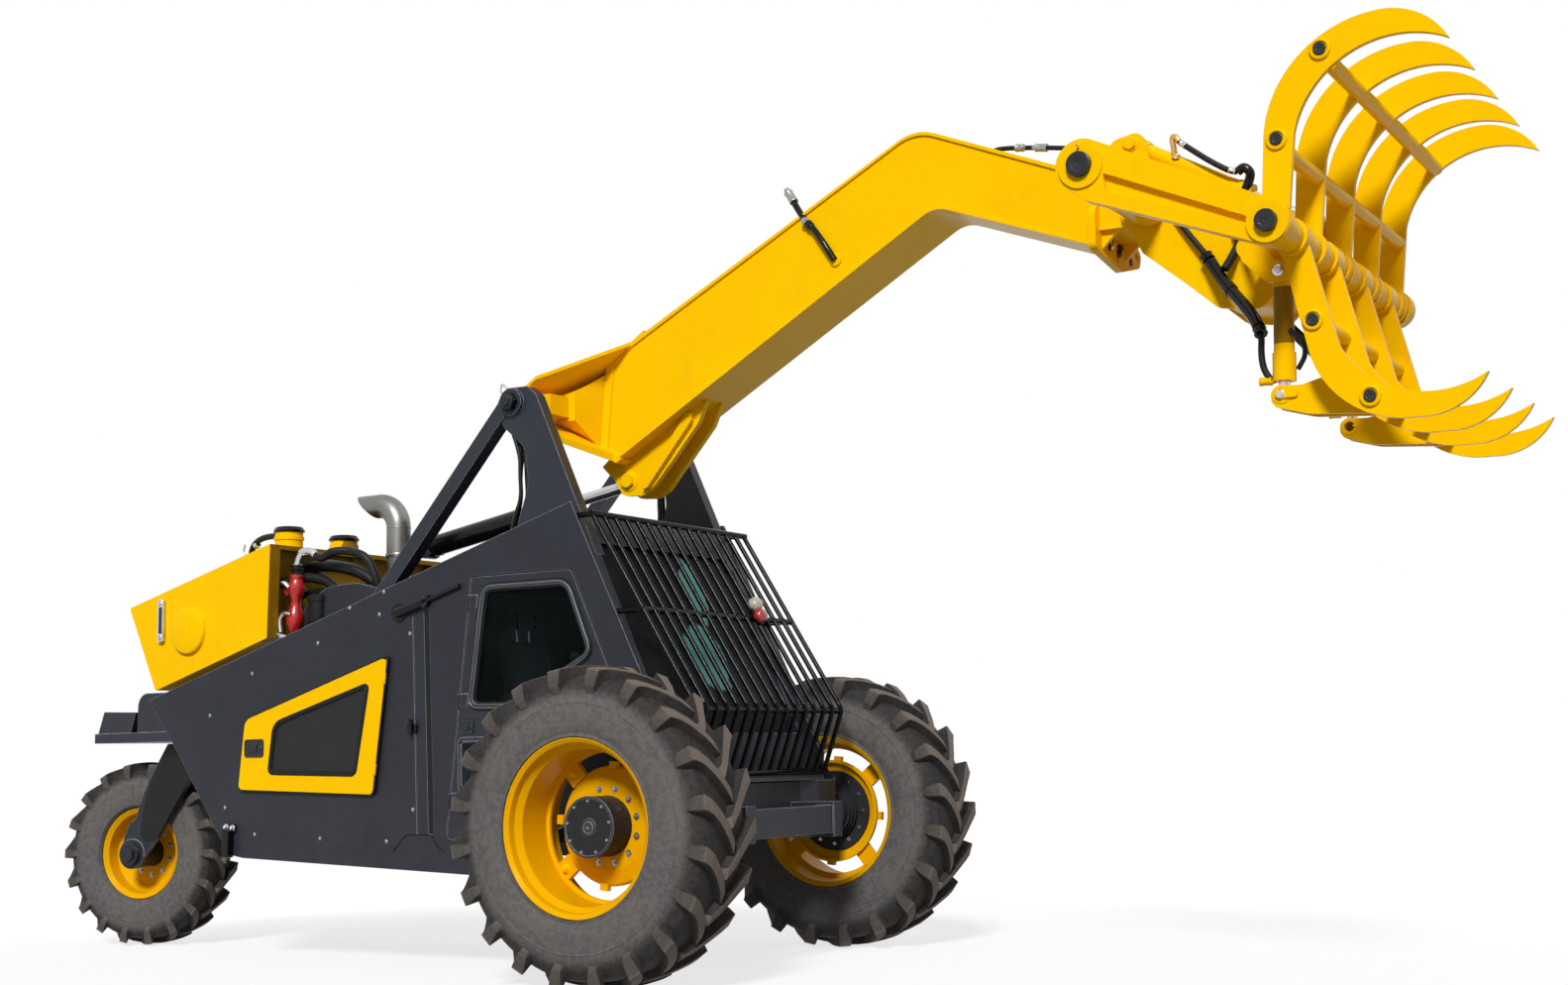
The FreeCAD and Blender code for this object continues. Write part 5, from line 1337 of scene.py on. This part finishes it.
def grab_hoses(side, name):
    """Sleeved hose from the arm down to a jaw cylinder, its spare, riser, port and return hose."""
    barrel = name + "_grab_barrel"
    down = route([(2875, 264, 3820), (2932, 275, 3732), (3032, 285, 3598), (3138, 340, 3421),
                  (3281, 450, 3257), (3376, 540, 3119), (3376, 580, 2990), (3392, 580, 2900),
                  (3425, 580, 2864)], side)
    run = hose(name + "_grab_hose", down, 0.032, "grab_arm", (barrel, down[5], down[7]))
    part = len(run) // 8
    first, middle, last = 2 * part, 3 * part, 5 * part - 1
    sleeve = along(run[first:last + 1], circle(0.031, 18))
    wrap = along(run[middle:middle + 3], circle(0.035, 18))
    cuffs = [moved(ferrule(0.026, 0.05), run[k], run[k + step] - run[k])
             for k, step in ((first, -2), (last, 2))]
    piece(name + "_hose_sleeve", join(sleeve, wrap, *cuffs), "black", "grab_arm")
    spare = route([(3175, 262, 3690), (3226, 300, 3622), (3330, 440, 3530), (3463, 600, 3425)], side)
    riser = route([(3212, 270, 3650), (3180, 300, 3570), (3146, 345, 3490)], side)
    piece(name + "_spare_hose", join(tube(spare, 0.017, 14, 40), hose_ends(spare, 0.017, 0.05)), "hose",
          "grab_arm")
    piece(name + "_hose_riser", tube(riser, 0.021, 14, 16), "seal", "grab_arm")
    stub = moved(ferrule(0.017, 0.075), mm(3440, side * 580, 2862), (-1, 0, 0.05))
    piece(name + "_port_stub", stub, "yellow", barrel)
    back = route([(3530, 612, 3090), (3590, 628, 3030), (3600, 630, 2960), (3560, 612, 2900)], side)
    piece(name + "_return_hose", tube(back, 0.012, 12, 30), "hose", barrel)


def nose_fittings():
    """Thin black slabs as painted shade of the slots in the face of the nose bracket, a hook and bolts, and
    grease nipples on the arm.
    """
    slots = []
    # Each slot is a thin black slab on the face: painted shade of its hole.
    for y, z, w, h in ((-73, 3783, 0.034, 0.078), (58, 3768, 0.040, 0.070), (226, 3745, 0.046, 0.046)):
        outline = rounded(rect(-w / 2, -h / 2, w / 2, h / 2), min(w, h) / 2.1, 6)
        slots.append(moved(slab(outline, -0.002, 0.0025, 0.001), mm(2446, y, z), (1, 0, 0)))
    bolts = [moved(hex_bolt(0.017, 0.018, 1.4), mm(2447, 62, 3786), (1, 0, 0)),
             moved(hex_bolt(0.013, 0.014, 1.4), mm(2447, 52, 3752), (1, 0, 0))]
    hook = route([(2440, -66, 3815), (2466, -66, 3812), (2470, -74, 3775), (2456, -78, 3752)])
    piece("bracket_slots", join(*slots), "seal", "boom")
    piece("bracket_bolts", join(*bolts), "iron", "boom")
    piece("bracket_hook", tube(hook, 0.007, 12, 24), "bright", "boom")
    nipple = lathe([(0, 0), (0.007, 0), (0.007, 0.006), (0.004, 0.008), (0.004, 0.014), (0.005, 0.017),
                    (0.003, 0.021), (0, 0.021)], 16)
    nipples = paired(nipple, (2730, 1155, 3985), (3609, 1050, 3600))
    piece("grease_nipples", join(*nipples), "brass", "grab_arm")


def boom_hoses():
    """Line on the boom's head with its coupling, and the hose over the boom's side with its union."""
    line = route([(1780, -115, 4372), (1879, -140, 4378), (2060, -150, 4350), (2221, -150, 4320),
                  (2380, -130, 4290), (2500, -90, 4262), (2565, -50, 4240)])
    at = smooth_path(line, 80)
    coupling = join(moved(ferrule(0.018, 0.085), at[27], at[32] - at[27]),
                    moved(ferrule(0.017, 0.06), at[24], at[20] - at[24]))
    piece("boom_line", tube(line, 0.013, 14, 80), "hose", "boom")
    over = route([(572, -165, 4327), (630, -180, 4233), (695, -205, 4148), (755, -222, 4089),
                  (818, -225, 3998), (872, -212, 3902)])
    widths = np.interp(np.arange(60), [0, 24, 26, 30, 34, 59], [0.019, 0.019, 0.025, 0.025, 0.017, 0.020])
    piece("boom_side_hose", tube(over, widths, 16, 60), "black", "boom")
    fall = over[2] - over[0]
    union = join(moved(ferrule(0.021, 0.11), over[0] - fall * 0.25, fall),
                 moved(hex_bolt(0.017, 0.022, 1.5), over[2] + (0.0, -0.012, 0.0), (0, -1, 0)))
    piece("boom_side_union", union, "steel", "boom")
    boom_half = 0.193
    boss = moved(disc(0.036, 0.012, 0.004, 0.004), over[5] * (1, 0, 1) - (0, boom_half, 0), (0, -1, 0))
    piece("boom_side_boss", boss, "yellow", "boom")
    piece("boom_line_coupling", coupling, "steel", "boom")


def tower_hoses(side, name):
    """Bundle behind a tower: up from the roof, bulging rearwards, and in under the pin's boss."""
    for k, (y, bulge) in enumerate(((676, 0), (702, 26), (726, 8))):
        points = route([(-1010, y, 2452), (-985, y, 2560), (-925 - bulge, y, 2660),
                        (-935 - bulge, y, 2800), (-940, y, 2920), (-1000, y * 0.99, 3050)], side)
        hose("%s_tower_hose_%d" % (name, k + 1), points, 0.024, "chassis")


def guard_lamp():
    """Small marker lamp on the guard's middle bar: a red dome and a cream one on a black base."""
    dome = lathe([(0, 0), (0.046, 0), (0.046, 0.014), (0.042, 0.034), (0.030, 0.050), (0.014, 0.056),
                  (0, 0.057)], 32)
    puck = lathe([(0, -0.004), (0.045, -0.004), (0.045, 0.008), (0, 0.008)], 28)
    middle, out, up = mm(-42, 366, 2016), unit((0.91, 0, 0.4)), unit((-0.4, 0, 0.91))
    base = join(*[moved(puck, middle + up * shift, out) for shift in (-0.042, 0.0, 0.042)])
    piece("guard_lamp_base", base, "seal", "chassis")
    piece("guard_lamp_red", moved(dome, middle - up * 0.036, out), "lamp_red", "chassis")
    piece("guard_lamp_cream", moved(dome, middle + up * 0.042, out), "cream", "chassis")


def tower_fittings():
    """Nuts and the lock wires at the boom pin, and the weld beads along the towers' feet."""
    wire = [(-1000, 765, 3300), (-1040, 765, 3330), (-1050, 765, 3280), (-1020, 765, 3235),
            (-985, 790, 3226)]
    weld = [(-1480, 742, 2325), (-1100, 742, 2438), (-700, 742, 2556)]
    wires, welds = [[tube(route(run, side), 0.006, 10, 40) for side, _ in SIDES] for run in (wire, weld)]
    piece("lock_wires", join(*wires), "bright", "chassis")
    nuts = paired(hex_bolt(0.030, 0.018, 1.5), pivot("boom_lift", 800))
    piece("boom_pin_nuts", join(*nuts), "iron", "chassis")
    piece("tower_welds", join(*welds), "grey", "chassis")


class LOADER_OT_grab_fittings(bpy.types.Operator):
    """Caps, bolts, keepers and hoses of the boom, the grab and the towers, and the guard's lamp"""
    bl_idname = "loader.grab_fittings"
    bl_label = "Boom and grab fittings"

    def execute(self, context):
        pin_caps()
        eye_bolts()
        tilt_line()
        for side, name in SIDES:
            grab_hoses(side, name)
        nose_fittings()
        boom_hoses()
        for side, name in SIDES:
            tower_hoses(side, name)
        tower_fittings()
        guard_lamp()
        return {"FINISHED"}


# --- shared finishes and CAD nodes ----------------------------------------------------------------
_made = {}


def shared():
    """Finishes that several pieces use, made once."""
    if not _made:
        _made.update(
            yellow=yellow_paint(), grey=body_paint(), black=gloss_black(), iron=dark_iron(),
            bright=bright_steel(), steel=bright_steel("worn_steel", (0.34, 0.335, 0.33), 0.24),
            brass=bright_steel("brass", (0.62, 0.42, 0.16), 0.22), pipe=brushed_pipe(),
            glass=tinted_glass(),
            screen=tinted_glass("screen_glass", (0.0025, 0.003, 0.0032), 0.05, 0.9, 0.03, 0.30),
            seal=moulded("seal_black", (0.0035, 0.0035, 0.0035), 0.45), plastic=moulded("moulded_black"),
            hose=moulded("hose_rubber", (0.0055, 0.0055, 0.006), 0.34), cloth=cloth(), mesh=mesh_sheet(),
            hub=body_paint("hub_grey", (0.020, 0.021, 0.024), 0.30, 0.3),
            red=enamel("valve_red", (0.55, 0.012, 0.010), (0.30, 0.008, 0.008)),
            blue=enamel("gauge_blue", (0.004, 0.010, 0.05), (0.002, 0.004, 0.02), 0.06),
            cream=lens("lamp_cream", (0.75, 0.70, 0.55)), lamp_red=lens("lamp_red", (0.6, 0.02, 0.02)))
    return _made


def wheel_finishes():
    """Rims in yellow with dark hubs: hub radius, flange radius, the dish's place, and which way is out."""
    rims = {name + "_front": (0.1573, 0.2435, -0.0825, side) for side, name in reversed(SIDES)}
    rims["rear"] = (0.0935, 0, 0, 1)
    return {wheel + "_rim": rim_paint(wheel.replace("_front", "") + "_rim_yellow",
                                      wheel + "_wheel_spin", *sizes) for wheel, sizes in rims.items()}


class LOADER_OT_finishes(bpy.types.Operator):
    """Finishes of the machine's own plates, rims, panes and rods"""
    bl_idname = "loader.finishes"
    bl_label = "Finishes"

    def execute(self, context):
        paints = shared()
        by_slot = {"body": "grey", "yellow": "yellow", "black_steel": "black", "pin": "iron",
                   "rod": "bright", "stack": "pipe", "glass": "glass", "plastic": "plastic",
                   "interior": "plastic", "engine": "iron", "seat": "cloth", "tyre": "hose"}
        chosen = {s["node"]: paints[by_slot[s["material_slot"]]] for s in frame["record"]["subparts"]}
        chosen.update(wheel_finishes(), boom_pin=paints["black"], windscreen=paints["screen"],
                      tank=yellow_paint("tank_yellow", painted_tank_shade), rear_fork=fork_paint(),
                      front_guard=gloss_black("guard_black", (0.0018, 0.0020, 0.0032), 0.04, 0.09, 0.005))
        shaded_barrels = yellow_paint("barrel_yellow", painted_barrel_shade)
        chosen.update(dict.fromkeys(("left_grab_barrel", "right_grab_barrel"), shaded_barrels))
        # Lighter, bluer copy of the body grey for the towers, the front axle and the fork head: painted
        # light.
        painted_light_grey = body_paint("tower_grey", (0.0175, 0.0205, 0.0285), 0.34, 0.6)
        chosen.update(dict.fromkeys(("towers", "front_axle", "rear_head"), painted_light_grey))
        for node, material in chosen.items():
            slots = NODES[node].data.materials
            for i in range(len(slots)):
                slots[i] = material
            if not slots:
                slots.append(material)
        return {"FINISHED"}


# --- stage ----------------------------------------------------------------------------------------
def seen_rays(p):
    """1 for camera, glossy and transmission rays."""
    path = p.node("ShaderNodeLightPath")
    return path["Is Camera Ray"].most(path["Is Glossy Ray"]).most(path["Is Transmission Ray"])


def floor_material():
    """Pale floor: partly its own light near the machine, so the shadow stays, and white further off.

    To rays that light the machine it is a darker grey, so that undersides keep their depth.
    """
    p = Paint("studio_floor")
    tone = p.noise(0.6, 3.0)
    seen = seen_rays(p)
    pale = p.blend(tone, (0.94, 0.94, 0.94), (0.97, 0.97, 0.97))
    lit = p.node("ShaderNodeBsdfDiffuse", {}, {"Color": p.blend(seen, (0.34, 0.34, 0.34), pale)})
    own = p.node("ShaderNodeEmission", {}, {"Color": (1, 1, 1, 1), "Strength": 1.04})
    x, y, _ = p.axes()
    away = ((x * x) * 0.6 + y * y) ** 0.5
    share = seen * (away.above(4.4, 1.5) * 0.28 + 0.72)
    return p.out(p.node("ShaderNodeMixShader", {}, {0: share, 1: lit[0], 2: own[0]})[0])


def add_floor():
    """Flat square a millimetre under the wheels."""
    a = np.linspace(-60, 60, 5)
    x, y = np.meshgrid(a, a, indexing="ij")
    points, faces, _ = grid(np.stack([x, y, 0 * x - 0.001], axis=-1))
    mesh = bpy.data.meshes.new("studio_floor")
    mesh.from_pydata(points.tolist(), [], faces.tolist())
    mesh.materials.append(floor_material())
    thing = bpy.data.objects.new("studio_floor", mesh)
    bpy.context.scene.collection.objects.link(thing)


def add_world(strength):
    """White surroundings: full level to the eye and in reflections, and a lower one as light."""
    world = bpy.data.worlds.new("studio")
    bpy.context.scene.world = world
    p = Paint("studio", world)
    level = p.node("ShaderNodeMapRange", {}, {"Value": seen_rays(p), "To Min": strength, "To Max": 1.0})[0]
    sky = p.node("ShaderNodeBackground", {}, {"Color": (1, 1, 1, 1), "Strength": level})
    p.node("ShaderNodeOutputWorld", {}, {"Surface": sky[0]})


def add_lamp(name, direction, strength, spread):
    """Sun lamp that shines from a direction."""
    lamp = bpy.data.lights.new(name, "SUN")
    lamp.energy = strength
    lamp.angle = np.radians(spread)
    thing = bpy.data.objects.new(name, lamp)
    thing.matrix_world = Matrix(basis(direction).tolist()).to_4x4()
    bpy.context.scene.collection.objects.link(thing)


def add_camera(place, turn, rise, roll, lens):
    """Camera from its place, its turn from +y towards -x, its rise and its roll."""
    ahead = Vector((-np.sin(turn) * np.cos(rise), np.cos(turn) * np.cos(rise), np.sin(rise)))
    level = Vector((np.cos(turn), np.sin(turn), 0.0))
    up = level.cross(ahead)
    right = np.cos(roll) * level + np.sin(roll) * up
    top = -np.sin(roll) * level + np.cos(roll) * up
    camera = bpy.data.cameras.new("camera")
    camera.sensor_width = 36.0
    camera.lens = lens
    camera.clip_end = 200.0
    thing = bpy.data.objects.new("camera", camera)
    thing.matrix_world = Matrix((right, top, -ahead)).transposed().to_4x4()
    thing.matrix_world.translation = place
    bpy.context.scene.collection.objects.link(thing)
    bpy.context.scene.camera = thing


class LOADER_OT_stage(bpy.types.Operator):
    """Pale floor, white surroundings, soft lamps and the camera"""
    bl_idname = "loader.stage"
    bl_label = "Stage"

    def execute(self, context):
        settings = context.scene.loader.stage
        add_floor()
        add_world(settings.ambient)
        add_lamp("key_lamp", (0.30, -0.80, 0.62), settings.key, 12.0)
        add_lamp("fill_lamp", (0.55, 0.45, 0.60), settings.fill, 40.0)
        add_camera(place=Vector((6.6278, -9.7781, 1.1548)), turn=0.53768, rise=0.13108, roll=-0.021917,
                   lens=46.17)
        context.scene.view_settings.view_transform = "Standard"
        return {"FINISHED"}


class StageSettings(bpy.types.PropertyGroup):
    """Light levels."""
    ambient: bpy.props.FloatProperty(name="Ambient", description="Level of the surrounding light",
                                     default=0.27)
    key: bpy.props.FloatProperty(name="Key", description="Strength of the key lamp", default=3.05)
    fill: bpy.props.FloatProperty(name="Fill", description="Strength of the fill lamp", default=0.14)


class ColourSettings(bpy.types.PropertyGroup):
    """Paint colours."""
    yellow: bpy.props.FloatVectorProperty(name="Yellow", description="Yellow enamel", min=0.0, max=1.0,
                                          default=(0.97, 0.545, 0.0006), subtype="COLOR")
    yellow_light: bpy.props.FloatVectorProperty(name="Light yellow", description="Enamel's paler drift",
                                                min=0.0, max=1.0, default=(0.99, 0.59, 0.0010),
                                                subtype="COLOR")
    grey: bpy.props.FloatVectorProperty(name="Grey", description="Satin grey of the body", min=0.0, max=1.0,
                                        default=(0.0128, 0.0152, 0.0215), subtype="COLOR")
    black: bpy.props.FloatVectorProperty(name="Black", description="Black enamel", min=0.0, max=1.0,
                                         default=(0.0030, 0.0031, 0.0040), subtype="COLOR")


class LoaderSettings(bpy.types.PropertyGroup):
    """All settings of the loader."""
    stage: bpy.props.PointerProperty(name="Stage", description="Light levels", type=StageSettings)
    colours: bpy.props.PointerProperty(name="Colours", description="Paint colours", type=ColourSettings)
    front_tyre: bpy.props.PointerProperty(name="Front tyre", description="Sizes of the front tyres",
                                          type=TyreSize)
    rear_tyre: bpy.props.PointerProperty(name="Rear tyre", description="Sizes of the rear tyre",
                                         type=TyreSize)


OPERATORS = [LOADER_OT_stage, LOADER_OT_finishes, LOADER_OT_tyres, LOADER_OT_wheel_bolts,
             LOADER_OT_seat, LOADER_OT_body_fittings, LOADER_OT_engine_bay, LOADER_OT_grab_fittings]


class LOADER_PT_panel(bpy.types.Panel):
    """Buttons for the operators that build the loader's pieces"""
    bl_idname = "LOADER_PT_panel"
    bl_label = "Cane loader"
    bl_space_type = "VIEW_3D"
    bl_region_type = "UI"
    bl_category = "Cane loader"

    def draw(self, context):
        for operator in OPERATORS:
            self.layout.operator(operator.bl_idname)


CLASSES = [TyreSize, StageSettings, ColourSettings, LoaderSettings, LOADER_PT_panel] + OPERATORS


def register():
    for item in CLASSES:
        bpy.utils.register_class(item)
    bpy.types.Scene.loader = bpy.props.PointerProperty(type=LoaderSettings)


def unregister():
    del bpy.types.Scene.loader
    for item in reversed(CLASSES):
        bpy.utils.unregister_class(item)


def corners(bounds):
    """Both corners of a box as plain lists."""
    return [[float(v) for v in corner] for corner in bounds]


def main():
    """Builds everything."""
    register()
    for size, value in REAR_TYRE.items():
        setattr(bpy.context.scene.loader.rear_tyre, size, value)
    for operator in OPERATORS:
        getattr(bpy.ops.loader, operator.bl_idname.split(".")[1])()


if __name__ == "__main__":
    main()
